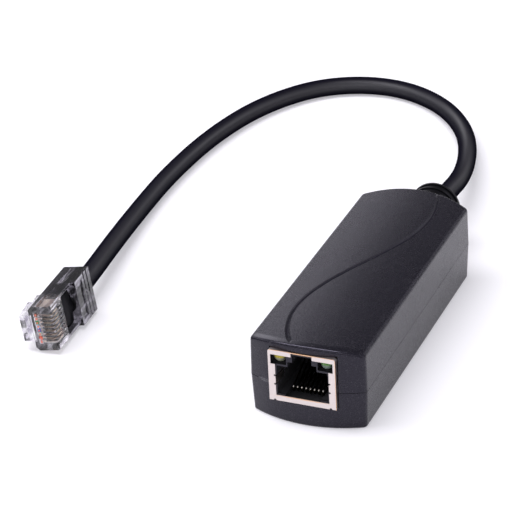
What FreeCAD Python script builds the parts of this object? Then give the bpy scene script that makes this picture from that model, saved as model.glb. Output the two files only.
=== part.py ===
import FreeCAD, Part
import math
import os
import Sketcher
from FreeCAD import Placement, Rotation, Vector

# In-line power adapter for a network cable, all in millimetres, +Z up.
# Origin: the middle of the flat base. X runs across the housing, -Y is the end with the
# socket, +Y the end with the lead.

doc = FreeCAD.newDocument("PowerAdapter")
sheet = doc.addObject("Spreadsheet::Sheet", "Sizes")

DRIVING_SIZES = [
    # housing
    ("housing_width", 27.9, "across the seam"),
    ("housing_length", 73.7, "between the front and the rear corner edges"),
    ("front_bulge", 3.5, "how far the middle of the front face stands out"),
    ("rear_bulge", 3.5, "how far the middle of the rear face stands out"),
    ("seam_height", 9.5, "parting line of the two shells"),
    ("crown_rise", 1.8, "rise of the arched top over its side edges"),
    ("top_inset", 0.2, "mould draft of the upper shell at its top"),
    ("base_inset", 0.38, "mould draft of the lower shell at its base"),
    ("wall", 1.6, "side and end walls"),
    ("roof_wall", 1.4, "arched top"),
    ("floor_wall", 1.6, "flat base"),
    ("seam_gap", 0.12, "shadow gap between the shells"),
    ("corner_round", 1.3, "upright corners of the shells"),
    ("top_round", 1.05, "edge round the arched top"),
    ("base_round", 0.5, "edge round the base"),
    ("lip_width", 0.7, "locating lip on the lower shell"),
    ("lip_rise", 1.0, "locating lip above the seam"),
    ("lip_play", 0.1, "clearance round the locating lip"),
    ("groove_width", 1.1, "S-shaped groove at the surface"),
    ("groove_depth", 0.5, "S-shaped groove at its root"),
    ("groove_front_sway", 8.0, "groove's crest towards -X, near the front"),
    ("groove_rear_sway", 7.4, "groove's crest towards +X, near the rear"),
    # socket
    ("jack_width", 16.0, "metal shield of the socket"),
    ("jack_rise", 13.0, "shield above the board"),
    ("jack_length", 21.3, "shield, front to rear"),
    ("jack_proud", 0.0, "shield ahead of the middle of the front face"),
    ("jack_headroom", 0.55, "between the shield and the roof"),
    ("jack_gap", 0.15, "clearance round the shield in the housing"),
    ("shield_sheet", 0.25, "thickness of the shield's sheet"),
    ("bar_top", 1.2, "shield's front frame, top bar"),
    ("bar_side", 1.65, "shield's front frame, side bars"),
    ("bar_bottom", 1.4, "shield's front frame, bottom bar"),
    ("bar_lamp", 0.6, "shield's front frame beside the lamps"),
    ("lamp_sill", 9.4, "lower edge of the lamp windows above the board"),
    ("latch_half", 2.5, "half the gap in the top bar for the plug's latch"),
    ("frame_edge", 0.3, "moulded edge seen inside the shield's frame"),
    ("socket_roof", 8.95, "roof of the wide part of the socket above the board"),
    ("step_half", 3.45, "half width of the socket's first step"),
    ("step_roof", 10.3, "roof of the first step above the board"),
    ("key_half", 2.3, "half width of the latch channel"),
    ("key_roof", 12.2, "roof of the latch channel above the board"),
    ("socket_depth", 14.5, "depth of the socket"),
    ("socket_back", 2.3, "moulding behind the socket"),
    ("lamp_play", 0.1, "clearance of a lamp in its cell"),
    ("channel_half", 4.25, "half width of the wire channel in the socket's floor"),
    ("channel_sole", 0.6, "floor of the wire channel above the board"),
    ("tab_low", 4.35, "lower edge of the folded side tab above the board"),
    ("tab_high", 6.35, "upper edge of the folded side tab above the board"),
    ("nick", 0.25, "small relief cuts in the shield's edges"),
    ("nick_inset", 1.2, "relief cuts in the lower edge, in from the shield's sides"),
    ("leg_setback", 8.0, "shield's board legs behind its front"),
    ("peg_setback", 8.95, "moulded pegs behind the shield's front"),
    ("contact_pitch", 1.016, "between neighbouring contact wires"),
    ("contact_wire", 0.4, "diameter of a contact wire"),
    ("lamp_size", 2.9, "diameter of a lamp"),
    ("lamp_setback", 0.35, "front of a lamp behind the shield's front"),
    ("lamp_length", 4.6, "lamp with its round front"),
    ("lead_wire", 0.5, "diameter of a component's lead"),
    ("leg_width", 1.6, "shield's board legs"),
    ("peg_size", 3.1, "moulded pegs under the socket"),
    ("peg_spread", 11.43, "between the two pegs"),
    ("moulding_play", 0.05, "clearance of the moulding in the shield"),
    ("finger_length", 4.4, "grounding finger, front to rear"),
    ("finger_crest", 2.6, "where a finger stands furthest into the socket"),
    ("finger_reach", 0.45, "how far it stands in from the frame's edge"),
    ("finger_recess", 0.75, "depth of its recess in the moulding"),
    ("finger_room", 0.15, "clearance round a grounding finger"),
    ("contact_setback", 3.4, "front bend of the contact wires behind the shield's front"),
    ("contact_bend", 1.15, "upright part of a contact wire at its front bend"),
    ("contact_slope", 8.0, "sloping part of a contact wire, front to rear"),
    ("contact_lift", 3.05, "rise of the sloping part"),
    ("tail_pitch", 1.9, "between the two rows of contact tails"),
    ("tail_gap", 1.1, "first row of tails behind the moulding"),
    # board
    ("board_gap", 0.6, "between the board and the walls"),
    ("wire_room", 4.25, "room behind the board for the conductors"),
    ("board_sheet", 1.6, "thickness of the board"),
    ("post_rise", 2.55, "posts between the floor and the board"),
    ("hole_play", 0.12, "clearance of a pin in its hole, all round"),
    ("pin_below", 1.2, "pins below the board"),
    ("post_size", 3.6, "moulded posts that carry the board"),
    ("post_pin", 1.6, "pin on each post"),
    ("post_pin_above", 0.5, "pins above the board"),
    ("post_inset", 1.8, "posts in from the board's side edges"),
    ("front_post", 7.9, "front posts behind the board's front edge"),
    ("rear_post", 2.4, "rear posts ahead of the board's rear edge"),
    ("board_corner", 1.0, "rounded corners of the board"),
    ("lamp_lead_pitch", 1.3, "between a lamp's two leads"),
    ("chip_lead", 0.15, "sheet of a chip's leads"),
    ("chip_root", 0.2, "lead inside a chip's body"),
    ("chip_stand", 0.1, "chip bodies above the board"),
    ("chip_bevel", 0.2, "bevel round a chip's top"),
    ("capacitor_pitch", 2.5, "between the leads of an electrolytic capacitor"),
    ("disc_pitch", 5.0, "between the leads of the disc and of the inductor"),
    ("bobbin_pin_pitch", 2.4, "between the transformer's pins"),
    ("bobbin_pin_inset", 0.8, "transformer's pins in from the bobbin's ends"),
    ("core_width", 13.0, "transformer core along X"),
    ("core_height", 11.0, "transformer core, upright"),
    ("core_depth", 6.0, "transformer core along Y"),
    ("core_leg", 1.7, "legs and yokes of the transformer core"),
    ("bobbin_depth", 12.6, "transformer bobbin along Y"),
    ("bobbin_wall", 0.6, "bobbin's barrel and flanges"),
    ("bobbin_foot", 0.9, "core above the board"),
    ("winding_inset", 0.2, "windings inside the rims that hold them"),
    ("winding_round", 1.4, "upright corners of the transformer's winding"),
    ("inductor_size", 7.6, "drum inductor"),
    ("inductor_rise", 7.8, "drum inductor, upright"),
    ("drum_size", 3.4, "middle of the drum"),
    ("drum_rim", 1.3, "rims of the drum"),
    ("disc_size", 6.6, "safety capacitor"),
    ("disc_thickness", 3.2, "safety capacitor, front to rear"),
    ("disc_round", 1.1, "rounded rim of the safety capacitor"),
    ("disc_stand", 1.2, "safety capacitor above the board"),
    ("can_size", 6.3, "electrolytic capacitors"),
    ("input_can_rise", 11.0, "input capacitor, upright"),
    ("output_can_rise", 9.0, "output capacitor, upright"),
    ("can_neck", 0.4, "bead rolled into a capacitor's can"),
    ("can_rim", 0.3, "rim round a capacitor's top"),
    ("can_stand", 0.2, "capacitors above the board"),
    ("drum_stand", 0.1, "inductor above the board"),
    ("pin_root", 0.5, "pin inside its component"),
    ("chip_part_rise", 0.6, "small parts under the board"),
    ("chip_part_length", 2.0, "small parts under the board, along X"),
    ("chip_part_width", 1.25, "small parts under the board, along Y"),
    ("chip_part_column", 5.5, "between their columns"),
    ("chip_part_line", 4.2, "between their lines"),
    # middles of the components' footprints
    ("front_row_offset", 6.6, "front row of chips behind the socket"),
    ("second_row_offset", 14.6, "second row of chips behind the socket"),
    ("transformer_inset", 7.0, "transformer in from the board's -X side"),
    ("transformer_ahead", 22.8, "transformer ahead of the board's rear edge"),
    ("input_can_inset", 4.3, "input capacitor in from the board's +X side"),
    ("input_can_ahead", 25.8, "input capacitor ahead of the board's rear edge"),
    ("output_can_inset", 4.1, "output capacitor in from the board's +X side"),
    ("output_can_ahead", 8.0, "output capacitor ahead of the board's rear edge"),
    ("inductor_inset", 10.5, "inductor in from the board's -X side"),
    ("inductor_ahead", 8.6, "inductor ahead of the board's rear edge"),
    ("safety_inset", 3.7, "safety capacitor in from the board's -X side"),
    ("safety_ahead", 12.6, "safety capacitor ahead of the board's rear edge"),
    ("input_bridge_inset", 2.4, "input bridge in from the board's -X side"),
    ("spare_bridge_inset", 2.8, "spare bridge in from the board's -X side"),
    ("control_chip_offset", -2.4, "control chip along X from the middle"),
    ("power_switch_inset", 3.4, "power switch in from the board's +X side"),
    ("suppressor_inset", 2.1, "surge suppressor in from the board's +X side"),
    ("output_chips_inset", 4.2, "diode and coupler in from the board's +X side"),
    ("output_diode_ahead", 19.6, "output diode ahead of the board's rear edge"),
    ("coupler_ahead", 15.0, "feedback coupler ahead of the board's rear edge"),
    # lead and gland
    ("cable_size", 5.0, "round network lead"),
    ("cable_play", 0.15, "clearance of the lead in the gland and the plug"),
    ("gland_neck", 9.0, "neck in the rear wall"),
    ("gland_base", 13.4, "ring against the rear wall"),
    ("gland_ring", 12.2, "outer rings"),
    ("gland_root", 9.4, "root of the gland's grooves"),
    ("gland_reach", 13.75, "gland outside the rear wall"),
    ("gland_foot", 2.6, "ring against the wall, along the lead"),
    ("gland_slot", 1.2, "grooves, along the lead"),
    ("gland_middle", 3.5, "middle ring, along the lead"),
    ("gland_taper", 0.3, "slope of the ring against the wall"),
    ("gland_soft", 0.8, "rounded outer end"),
    ("collar_size", 11.2, "collar inside the rear wall"),
    ("collar_sheet", 1.6, "thickness of the collar"),
    ("jacket_stop", 4.0, "end of the jacket behind the board"),
    ("wire_bend", 0.75, "bend of a conductor along its middle"),
    ("wire_out", 1.1, "straight conductor out of the jacket"),
    ("pad_setback", 1.8, "first row of pads ahead of the board's rear edge"),
    ("pad_stagger", 2.1, "between the two rows of pads"),
    ("conductor", 0.95, "insulated conductor"),
    ("core_wire", 0.5, "bare conductor"),
    # plug
    ("plug_width", 11.6, "along the row of contacts"),
    ("plug_length", 21.3, "front to rear"),
    ("nose_height", 5.9, "front part, latch side to contact side"),
    ("flange_step", 1.3, "rear part above the front part"),
    ("flange_front", 12.6, "start of the rear part behind the front"),
    ("window_front", 6.5, "start of the open window behind the front"),
    ("plug_wall", 0.75, "side walls of the plug"),
    ("row_height", 1.7, "row of conductors above the latch side"),
    ("row_pitch", 1.02, "between neighbouring conductors"),
    ("blade_sheet", 0.35, "thickness of a plug contact"),
    ("blade_length", 4.6, "plug contact, front to rear"),
    ("cable_height", 3.6, "middle of the lead above the latch side"),
    ("jacket_depth", 13.0, "end of the jacket behind the plug's front"),
    ("latch_width", 6.6, "latch at its root"),
    ("latch_drop", 2.8, "latch root below the latch side"),
    ("latch_reach", 14.2, "tip of the latch behind the front"),
    ("latch_sheet", 1.0, "thickness of the latch"),
    ("latch_tip", 3.9, "width of the latch behind its shoulders"),
    ("shoulder_depth", 7.6, "latch shoulders behind the front"),
    ("nose_bevel", 0.5, "bevel along the front edge"),
    ("corner_bevel", 0.8, "bevels along the latch side"),
    ("fan_front", 7.0, "conductors start to spread behind the front"),
    ("fan_length", 1.9, "run in which the conductors change level"),
    ("fan_rise", 1.8, "roof of the spreading room above the lead's middle"),
    ("wire_play", 0.05, "clearance of a conductor or contact in the plug"),
    ("wire_setback", 0.2, "front ends of the conductors behind the plug's front"),
    ("panel_depth", 0.35, "sunk panel on the rear part's contact side"),
    ("panel_margin", 1.1, "frame round the sunk panel"),
    ("panel_length", 2.8, "sunk panel, front to rear"),
    ("band_width", 0.5, "cross grooves behind the panel"),
    ("band_depth", 0.3, "cross grooves behind the panel"),
    ("band_start", 5.0, "first cross groove behind the rear part's front"),
    ("band_pitch", 1.7, "between the cross grooves"),
    ("latch_rise", 1.6, "latch tip beyond its root"),
    ("latch_front", 0.25, "latch root behind the plug's front"),
    ("blade_front", 0.65, "plug contacts behind the plug's front"),
    ("blade_crest", 3.0, "full height of a plug contact, front to rear"),
    ("blade_bend", 1.5, "rounded front corner of a plug contact"),
    ("blade_step", 0.8, "drop behind the crest of a plug contact"),
    ("blade_sink", 0.15, "crest of a plug contact below the contact side"),
    ("blade_room", 0.35, "contact slots behind the contacts"),
    ("core_stand", 0.15, "bare wire ahead of its insulation"),
    ("core_bite", 1.0, "bare wire shown inside its insulation"),
    ("latch_bite", 0.3, "latch root inside the plug"),
    ("latch_root", 1.3, "latch root, front to rear"),
    ("slot_ledge", 0.9, "closed foot of the contact slots"),
    ("bundle_pitch", 1.0, "conductors side by side in the jacket"),
    ("bundle_rise", 1.1, "between the two layers in the jacket"),
    ("pad_pitch", 1.6, "between the lead's pads on the board"),
]

for row, (alias, amount, note) in enumerate(DRIVING_SIZES, start=1):
    sheet.set(f"A{row}", str(amount))
    sheet.setAlias(f"A{row}", alias)
    sheet.set(f"B{row}", note)
doc.recompute()


# A size holds a number and the sheet expression that gives it, so that each sketch is drawn
# at its true place and stays bound to the sheet.
class Size:
    def __init__(self, number, text):
        self.number = number
        self.text = text

    def joined(self, other, sign, number):
        return Size(number, f"({self.text} {sign} {as_size(other).text})")

    def __add__(self, other):
        return self.joined(other, "+", self.number + as_size(other).number)

    def __sub__(self, other):
        return self.joined(other, "-", self.number - as_size(other).number)

    def __rsub__(self, other):
        return as_size(other) - self

    def __mul__(self, other):
        return self.joined(other, "*", self.number * as_size(other).number)

    def __truediv__(self, other):
        return self.joined(other, "/", self.number / as_size(other).number)

    def __neg__(self):
        return Size(-self.number, f"(-1 * {self.text})")


def as_size(amount):
    return amount if isinstance(amount, Size) else Size(float(amount), repr(float(amount)))


def of(alias):
    return Size(float(sheet.get(alias)), f"Sizes.{alias}")


def root(amount):
    return Size(math.sqrt(amount.number), f"sqrt({amount.text})")


def slope(rise, run):
    angle = math.degrees(math.atan2(rise.number, run.number))
    return Size(angle, f"atan({rise.text} / {run.text})")


def arc_radius(half_chord, rise):
    return (half_chord * half_chord + rise * rise) / (rise * 2)


def bind(item, name, amount):
    amount = as_size(amount)
    item.setExpression(name, amount.text)


def new_body(label):
    body = doc.addObject("PartDesign::Body", label)
    body.Label = label
    return body


# A closed outline on a body's own origin plane. Corners are (x, y) in the plane; arcs gives
# the radius of the edge that leaves a corner, positive where it bulges outwards from a
# counterclockwise outline.
def outline(body, plane, name, corners, arcs=None, offset=0):
    arcs = arcs or {}
    sketch = body.newObject("Sketcher::SketchObject", name)
    support = [item for item in body.Origin.OriginFeatures if item.Role == plane][0]
    sketch.AttachmentSupport = [(support, "")]
    sketch.MapMode = "FlatFace"
    bind(sketch, ".AttachmentOffset.Base.z", offset)
    corners = [(as_size(x), as_size(y)) for x, y in corners]
    spots = [Vector(x.number, y.number, 0) for x, y in corners]
    first, last = {}, {}
    for index, start in enumerate(spots):
        end = spots[(index + 1) % len(spots)]
        first[index], last[index] = 1, 2
        if index in arcs:
            radius = as_size(arcs[index]).number
            chord = end - start
            half = chord.Length / 2
            rise = abs(radius) - math.sqrt(radius * radius - half * half)
            out = Vector(chord.y, -chord.x, 0).normalize()
            middle = (start + end) * 0.5 + out * math.copysign(rise, radius)
            sketch.addGeometry(Part.Arc(start, middle, end))
            if radius < 0:
                first[index], last[index] = 2, 1
        else:
            sketch.addGeometry(Part.LineSegment(start, end))
    for index, (x, y) in enumerate(corners):
        after = (index + 1) % len(corners)
        sketch.addConstraint(
            Sketcher.Constraint("Coincident", index, last[index], after, first[after]))
        for kind, amount in (("DistanceX", x), ("DistanceY", y)):
            place = sketch.addConstraint(
                Sketcher.Constraint(kind, index, first[index], amount.number))
            bind(sketch, f"Constraints[{place}]", amount)
    for index, radius in arcs.items():
        radius = as_size(radius)
        radius = radius if radius.number > 0 else -radius
        place = sketch.addConstraint(Sketcher.Constraint("Radius", index, radius.number))
        bind(sketch, f"Constraints[{place}]", radius)
    return sketch


def rectangle(body, plane, name, low_x, high_x, low_y, high_y, offset=0):
    corners = [(low_x, low_y), (high_x, low_y), (high_x, high_y), (low_x, high_y)]
    return outline(body, plane, name, corners, offset=offset)


def circles(body, plane, name, spots, diameter, offset=0):
    sketch = body.newObject("Sketcher::SketchObject", name)
    support = [item for item in body.Origin.OriginFeatures if item.Role == plane][0]
    sketch.AttachmentSupport = [(support, "")]
    sketch.MapMode = "FlatFace"
    bind(sketch, ".AttachmentOffset.Base.z", offset)
    diameter = as_size(diameter)
    for x, y in spots:
        x, y = as_size(x), as_size(y)
        centre = Vector(x.number, y.number, 0)
        index = sketch.addGeometry(Part.Circle(centre, Vector(0, 0, 1), diameter.number / 2))
        for kind, amount in (("DistanceX", x), ("DistanceY", y)):
            place = sketch.addConstraint(Sketcher.Constraint(kind, index, 3, amount.number))
            bind(sketch, f"Constraints[{place}]", amount)
        place = sketch.addConstraint(Sketcher.Constraint("Diameter", index, diameter.number))
        bind(sketch, f"Constraints[{place}]", diameter)
    return sketch


def pad(body, sketch, length, reverse=False, both_ways=False, taper=None):
    feature = body.newObject("PartDesign::Pad", sketch.Name + "Pad")
    feature.Profile = (sketch, [""])
    feature.Reversed = reverse
    feature.SideType = "Symmetric" if both_ways else "One side"
    bind(feature, "Length", length)
    if taper is not None:
        bind(feature, "TaperAngle", taper)
    return feature


def pocket(body, sketch, length, reverse=False, both_ways=False):
    feature = body.newObject("PartDesign::Pocket", sketch.Name + "Pocket")
    feature.Profile = (sketch, [""])
    feature.Reversed = reverse
    feature.SideType = "Symmetric" if both_ways else "One side"
    bind(feature, "Length", length)
    return feature


def spin(body, sketch, axis):
    feature = body.newObject("PartDesign::Revolution", sketch.Name + "Spin")
    feature.Profile = (sketch, [""])
    feature.ReferenceAxis = (sketch, [axis])
    feature.Angle = 360
    return feature


# Rounds the edges of the body's last feature that the test picks.
def round_edges(body, base, name, test, radius, kind="Fillet"):
    doc.recompute()
    picked = []
    for index, edge in enumerate(base.Shape.Edges, start=1):
        middle = edge.valueAt((edge.FirstParameter + edge.LastParameter) / 2)
        if test(edge, middle):
            picked.append(f"Edge{index}")
    feature = body.newObject(f"PartDesign::{kind}", name)
    feature.Base = (base, picked)
    bind(feature, "Radius" if kind == "Fillet" else "Size", radius)
    return feature


def cut(label, base, tools):
    if len(tools) > 1:
        tool = doc.addObject("Part::MultiFuse", label + "Tools")
        tool.Shapes = tools
    else:
        tool = tools[0]
    item = doc.addObject("Part::Cut", label)
    item.Label = label
    item.Base = base
    item.Tool = tool
    return item


def box(label, low, size):
    item = doc.addObject("Part::Box", label)
    item.Label = label
    for name, amount in zip(("Length", "Width", "Height"), size):
        bind(item, name, amount)
    for name, amount in zip("xyz", low):
        bind(item, f".Placement.Base.{name}", amount)
    return item


def rod(label, foot, diameter, height, turn=None):
    item = doc.addObject("Part::Cylinder", label)
    item.Label = label
    bind(item, "Radius", as_size(diameter) / 2)
    bind(item, "Height", height)
    if turn is not None:
        item.Placement = Placement(Vector(), turn)
    for name, amount in zip("xyz", foot):
        bind(item, f".Placement.Base.{name}", amount)
    return item


# A group of separate solids in one node, or one solid that only a shape function makes.
def shape_node(label, shapes):
    item = doc.addObject("Part::Feature", label)
    item.Label = label
    item.Shape = shapes[0] if len(shapes) == 1 else Part.makeCompound(shapes)
    return item
# Places that follow from the driving sizes. The height is stacked up from the base: floor,
# posts, board, socket, headroom and roof.
seam = of("seam_height")
half_gap = of("seam_gap") / 2
board_under = of("floor_wall") + of("post_rise")
board_top = board_under + of("board_sheet")
jack_half = of("jack_width") / 2
jack_front = -(of("housing_length") / 2 + of("front_bulge") + of("jack_proud"))
jack_rear = jack_front + of("jack_length")
jack_top = board_top + of("jack_rise")
crown_top = jack_top + of("jack_headroom") + of("roof_wall")
side_height = crown_top - of("crown_rise")
rear_apex = of("housing_length") / 2 + of("rear_bulge")
collar_seat = rear_apex - of("wall") + of("lip_play")
board_half = of("housing_width") / 2 - of("wall") - of("board_gap")
board_front = -(of("housing_length") / 2 - of("wall") - of("board_gap"))
board_rear = of("housing_length") / 2 - of("wall") - of("wire_room")
jacket_end = board_rear + of("jacket_stop")
post_spots = [((board_half - of("post_inset")) * side, y) for side in (-1, 1)
              for y in (board_front + of("front_post"), board_rear - of("rear_post"))]
lamp_x = (of("step_half") + of("frame_edge") + jack_half - of("bar_lamp")) / 2
lamp_z = board_top + of("lamp_sill") + of("lamp_size") / 2 + of("lamp_play")
moulding_front = jack_front + of("shield_sheet")
moulding_rear = moulding_front + of("socket_depth") + of("socket_back")
contact_tails = [moulding_rear + of("tail_gap"),
                 moulding_rear + of("tail_gap") + of("tail_pitch")]
lamp_tail = (contact_tails[0] + contact_tails[1]) / 2
contact_count = 8
SIDES = [(-1, "Left"), (1, "Right")]

# Cutters run past the faces that they cut by this much.
OVERCUT = 1.0




# The housing's outline seen from above, drawn in from the seam's outline.
def plan(body, name, inset, offset):
    half = of("housing_width") / 2 - inset
    end = of("housing_length") / 2 - inset
    corners = [(-half, -end), (half, -end), (half, end), (-half, end)]
    arcs = {0: arc_radius(half, of("front_bulge")), 2: arc_radius(half, of("rear_bulge"))}
    return outline(body, "XY_Plane", name, corners, arcs, offset)


# Takes away what lies above the arched top, lowered by drop.
def cut_crown(body, name, drop):
    half = of("housing_width") / 2
    bend = arc_radius(half, of("crown_rise"))
    reach = half + 1
    crown = crown_top - drop
    edge = crown - bend + root(bend * bend - reach * reach)
    above = crown + of("roof_wall") * 4
    corners = [(-reach, edge), (reach, edge), (reach, above), (-reach, above)]
    sketch = outline(body, "XZ_Plane", name, corners, {0: -bend})
    return pocket(body, sketch, of("housing_length") * 2, both_ways=True)


def is_upright(edge, middle):
    ends = [vertex.Point for vertex in edge.Vertexes]
    return len(ends) == 2 and abs(ends[1].z - ends[0].z) > 0.9 * (ends[1] - ends[0]).Length


def crown_height(x):
    bend = arc_radius(of("housing_width") / 2, of("crown_rise")).number
    return crown_top.number - bend + math.sqrt(bend * bend - x * x)


# The S-shaped groove: a V-shaped cutter drawn along a curve that lies on the arched top.
def groove_cutter():
    length = of("housing_length").number
    front_sway = of("groove_front_sway").number
    rear_sway = of("groove_rear_sway").number
    stations = [
        (-0.565, -0.14 * front_sway),
        (-0.46, -0.72 * front_sway),
        (-0.30, -front_sway),
        (-0.02, -0.12 * front_sway),
        (0.32, rear_sway),
        (0.47, 0.90 * rear_sway),
        (0.565, 0.58 * rear_sway),
    ]
    points = [Vector(x, share * length, crown_height(x)) for share, x in stations]
    curve = Part.BSplineCurve()
    curve.interpolate(points)
    half = of("groove_width").number / 2
    depth = of("groove_depth").number
    over = depth
    wide = half * (depth + over) / depth
    along = curve.tangent(curve.FirstParameter)[0]
    side = Vector(along.y, -along.x, 0).normalize()
    start = points[0]
    corners = [start - Vector(0, 0, depth), start + side * wide + Vector(0, 0, over),
               start - side * wide + Vector(0, 0, over)]
    section = Part.makePolygon(corners + [corners[0]])
    shell = Part.BRepOffsetAPI.MakePipeShell(Part.Wire([curve.toShape()]))
    shell.setBiNormalMode(Vector(0, 0, 1))
    shell.add(section)
    shell.build()
    shell.makeSolid()
    return shape_node("GrooveCutter", [shell.shape()])


def jack_opening(label):
    gap = of("jack_gap")
    ahead = of("front_bulge") * 2
    low = (-jack_half - gap, jack_front - ahead, board_top - gap)
    size = (of("jack_width") + gap * 2, of("jack_length") + ahead + gap,
            of("jack_rise") + gap * 2)
    return box(label, low, size)


# Hole for the gland's neck, with a flat seat for its collar in the curved wall.
def gland_opening(label):
    start = collar_seat - of("wall") * 2
    play = of("lip_play")
    along = Rotation(Vector(1, 0, 0), -90)
    hole = rod(label + "Hole", (0, start, seam), of("gland_neck") + play * 2,
               of("wall") * 6, along)
    seat = rod(label + "Seat", (0, start, seam), of("collar_size") + play * 2,
               of("wall") * 2, along)
    return [hole, seat]


# Two shells that meet at the seam: the upper one has the arched top, its groove and a
# rebate; the lower one has the flat base, the posts for the board and a locating lip.
def upper_shell():
    outer = new_body("UpperOuter")
    draft = slope(of("top_inset"), side_height - seam)
    rise = crown_top + OVERCUT - seam - half_gap
    base = pad(outer, plan(outer, "UpperPlan", 0, seam + half_gap), rise, taper=-draft)
    cut_crown(outer, "Crown", 0)
    base = outer.Tip
    base = round_edges(outer, base, "UpperCorners", is_upright, of("corner_round"))
    high = side_height.number - of("corner_round").number
    round_edges(outer, base, "TopEdge",
                lambda edge, middle: middle.z > high and not is_upright(edge, middle),
                of("top_round"))
    rebate = plan(outer, "LipRebate", of("wall") - of("lip_width") - of("lip_play"),
                  seam + half_gap)
    pocket(outer, rebate, of("lip_rise") + of("lip_play"), reverse=True)
    core = new_body("UpperCore")
    pad(core, plan(core, "UpperCorePlan", of("wall"), seam - OVERCUT), rise, taper=-draft)
    cut_crown(core, "Ceiling", of("roof_wall"))
    return cut("upper_shell", outer,
               [core, jack_opening("UpperJackOpening"), groove_cutter()]
               + gland_opening("UpperGland"))


def lower_shell():
    outer = new_body("LowerOuter")
    draft = slope(of("base_inset"), seam)
    base = pad(outer, plan(outer, "LowerPlan", 0, seam - half_gap), seam - half_gap,
               reverse=True, taper=-draft)
    base = round_edges(outer, base, "LowerCorners", is_upright, of("corner_round"))
    round_edges(outer, base, "BaseEdge",
                lambda edge, middle: middle.z < 0.01, of("base_round"))
    lip = plan(outer, "Lip", of("wall") - of("lip_width"), seam - half_gap)
    pad(outer, lip, of("lip_rise") + half_gap)
    lip_top = seam + of("lip_rise")
    pocket(outer, plan(outer, "LowerCore", of("wall"), lip_top), lip_top - of("floor_wall"))
    posts = circles(outer, "XY_Plane", "Posts", post_spots, of("post_size"),
                    of("floor_wall"))
    pad(outer, posts, board_under - of("floor_wall"))
    post_pins = circles(outer, "XY_Plane", "PostPins", post_spots, of("post_pin"),
                        board_under)
    pad(outer, post_pins, of("board_sheet") + of("post_pin_above"))
    return cut("lower_shell", outer,
               [jack_opening("LowerJackOpening")] + gland_opening("LowerGland"))


# Turned profile of the moulded gland; its collar sits inside the rear wall.
def cable_gland():
    body = new_body("cable_gland")
    bore = of("cable_size") / 2 + of("cable_play")
    neck, ring = of("gland_neck") / 2, of("gland_ring") / 2
    foot, groove = of("gland_base") / 2, of("gland_root") / 2
    collar = of("collar_size") / 2
    inside = collar_seat - of("seam_gap") / 2
    outside = rear_apex + of("seam_gap") / 2
    end = outside + of("gland_reach")
    base_end = outside + of("gland_foot")
    ring_start = base_end + of("gland_slot")
    ring_end = ring_start + of("gland_middle")
    cap_start = ring_end + of("gland_slot")
    soft = of("gland_soft")
    inner_end = inside - of("collar_sheet")
    corners = [
        (inner_end, bore), (end - soft, bore), (end, bore + soft), (end, ring - soft),
        (end - soft, ring), (cap_start, ring), (cap_start, groove), (ring_end, groove),
        (ring_end, ring), (ring_start, ring), (ring_start, groove), (base_end, groove),
        (base_end, foot - of("gland_taper")), (outside, foot), (outside, neck),
        (inside, neck), (inside, collar), (inner_end, collar),
    ]
    sketch = outline(body, "YZ_Plane", "GlandProfile", corners, {3: soft})
    spin(body, sketch, "H_Axis")
    bind(body, ".Placement.Base.z", seam)
    return body


def mirrored(points):
    return points + [(-x, y) for x, y in reversed(points)]


def on_side(side, points):
    return [(x * side, y) for x, y in points]


# Folded sheet-metal shield: a box open at the bottom, with a punched front frame, two
# grounding fingers folded into the socket and two board legs.
def jack_shield():
    body = new_body("jack_shield")
    sheet_size = of("shield_sheet")
    shell = rectangle(body, "XZ_Plane", "ShieldFace", -jack_half, jack_half, board_top,
                      jack_top, offset=-jack_front)
    base = pad(body, shell, of("jack_length"), reverse=True)
    top = jack_top.number - 0.01
    base = round_edges(body, base, "ShieldFolds",
                       lambda edge, middle: middle.z > top and abs(middle.x) > 1,
                       sheet_size * 2)
    inner = rectangle(body, "XY_Plane", "ShieldInside", -jack_half + sheet_size,
                      jack_half - sheet_size, jack_front + sheet_size,
                      jack_rear - sheet_size, offset=board_top)
    pocket(body, inner, of("jack_rise") - sheet_size, reverse=True)
    edge, lamp_edge = jack_half - of("bar_side"), jack_half - of("bar_lamp")
    nick = of("nick")
    low, high = board_top + of("tab_low"), board_top + of("tab_high")
    sill, lintel = board_top + of("lamp_sill"), jack_top - of("bar_top")
    window = mirrored([
        (edge, board_top + of("bar_bottom")), (edge, low - nick), (edge + nick, low - nick),
        (edge + nick, low), (edge, low), (edge, high), (edge + nick, high),
        (edge + nick, high + nick), (edge, high + nick), (edge, sill), (lamp_edge, sill),
        (lamp_edge, lintel), (of("latch_half"), lintel),
        (of("latch_half"), jack_top - sheet_size)])
    pocket(body, outline(body, "XZ_Plane", "FrontWindow", window, offset=-jack_front),
           sheet_size * 2)
    nick_x = jack_half - of("nick_inset")
    finger_end = jack_front + of("finger_length")
    finger_crest = jack_front + of("finger_crest")
    crest_x = edge - of("finger_reach")
    leg_front = jack_front + of("leg_setback")
    for side, name in SIDES:
        bottom = [(nick_x - nick, board_top - nick), (nick_x, board_top - nick),
                  (nick_x, board_top + nick), (nick_x - nick, board_top + nick)]
        pocket(body, outline(body, "XZ_Plane", name + "Nick", on_side(side, bottom),
                             offset=-jack_front), sheet_size * 2)
        finger = [(edge, jack_front), (edge + sheet_size, jack_front),
                  (crest_x + sheet_size, finger_crest), (edge, finger_end),
                  (edge - sheet_size, finger_end), (crest_x, finger_crest)]
        pad(body, outline(body, "XY_Plane", name + "Finger", on_side(side, finger),
                          offset=low), high - low)
        leg = [(jack_half - sheet_size, leg_front), (jack_half, leg_front),
               (jack_half, leg_front + of("leg_width")),
               (jack_half - sheet_size, leg_front + of("leg_width"))]
        pad(body, outline(body, "XY_Plane", name + "Leg", on_side(side, leg),
                          offset=board_top + sheet_size),
            of("board_sheet") + of("pin_below") + sheet_size, reverse=True)
    return body
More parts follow.
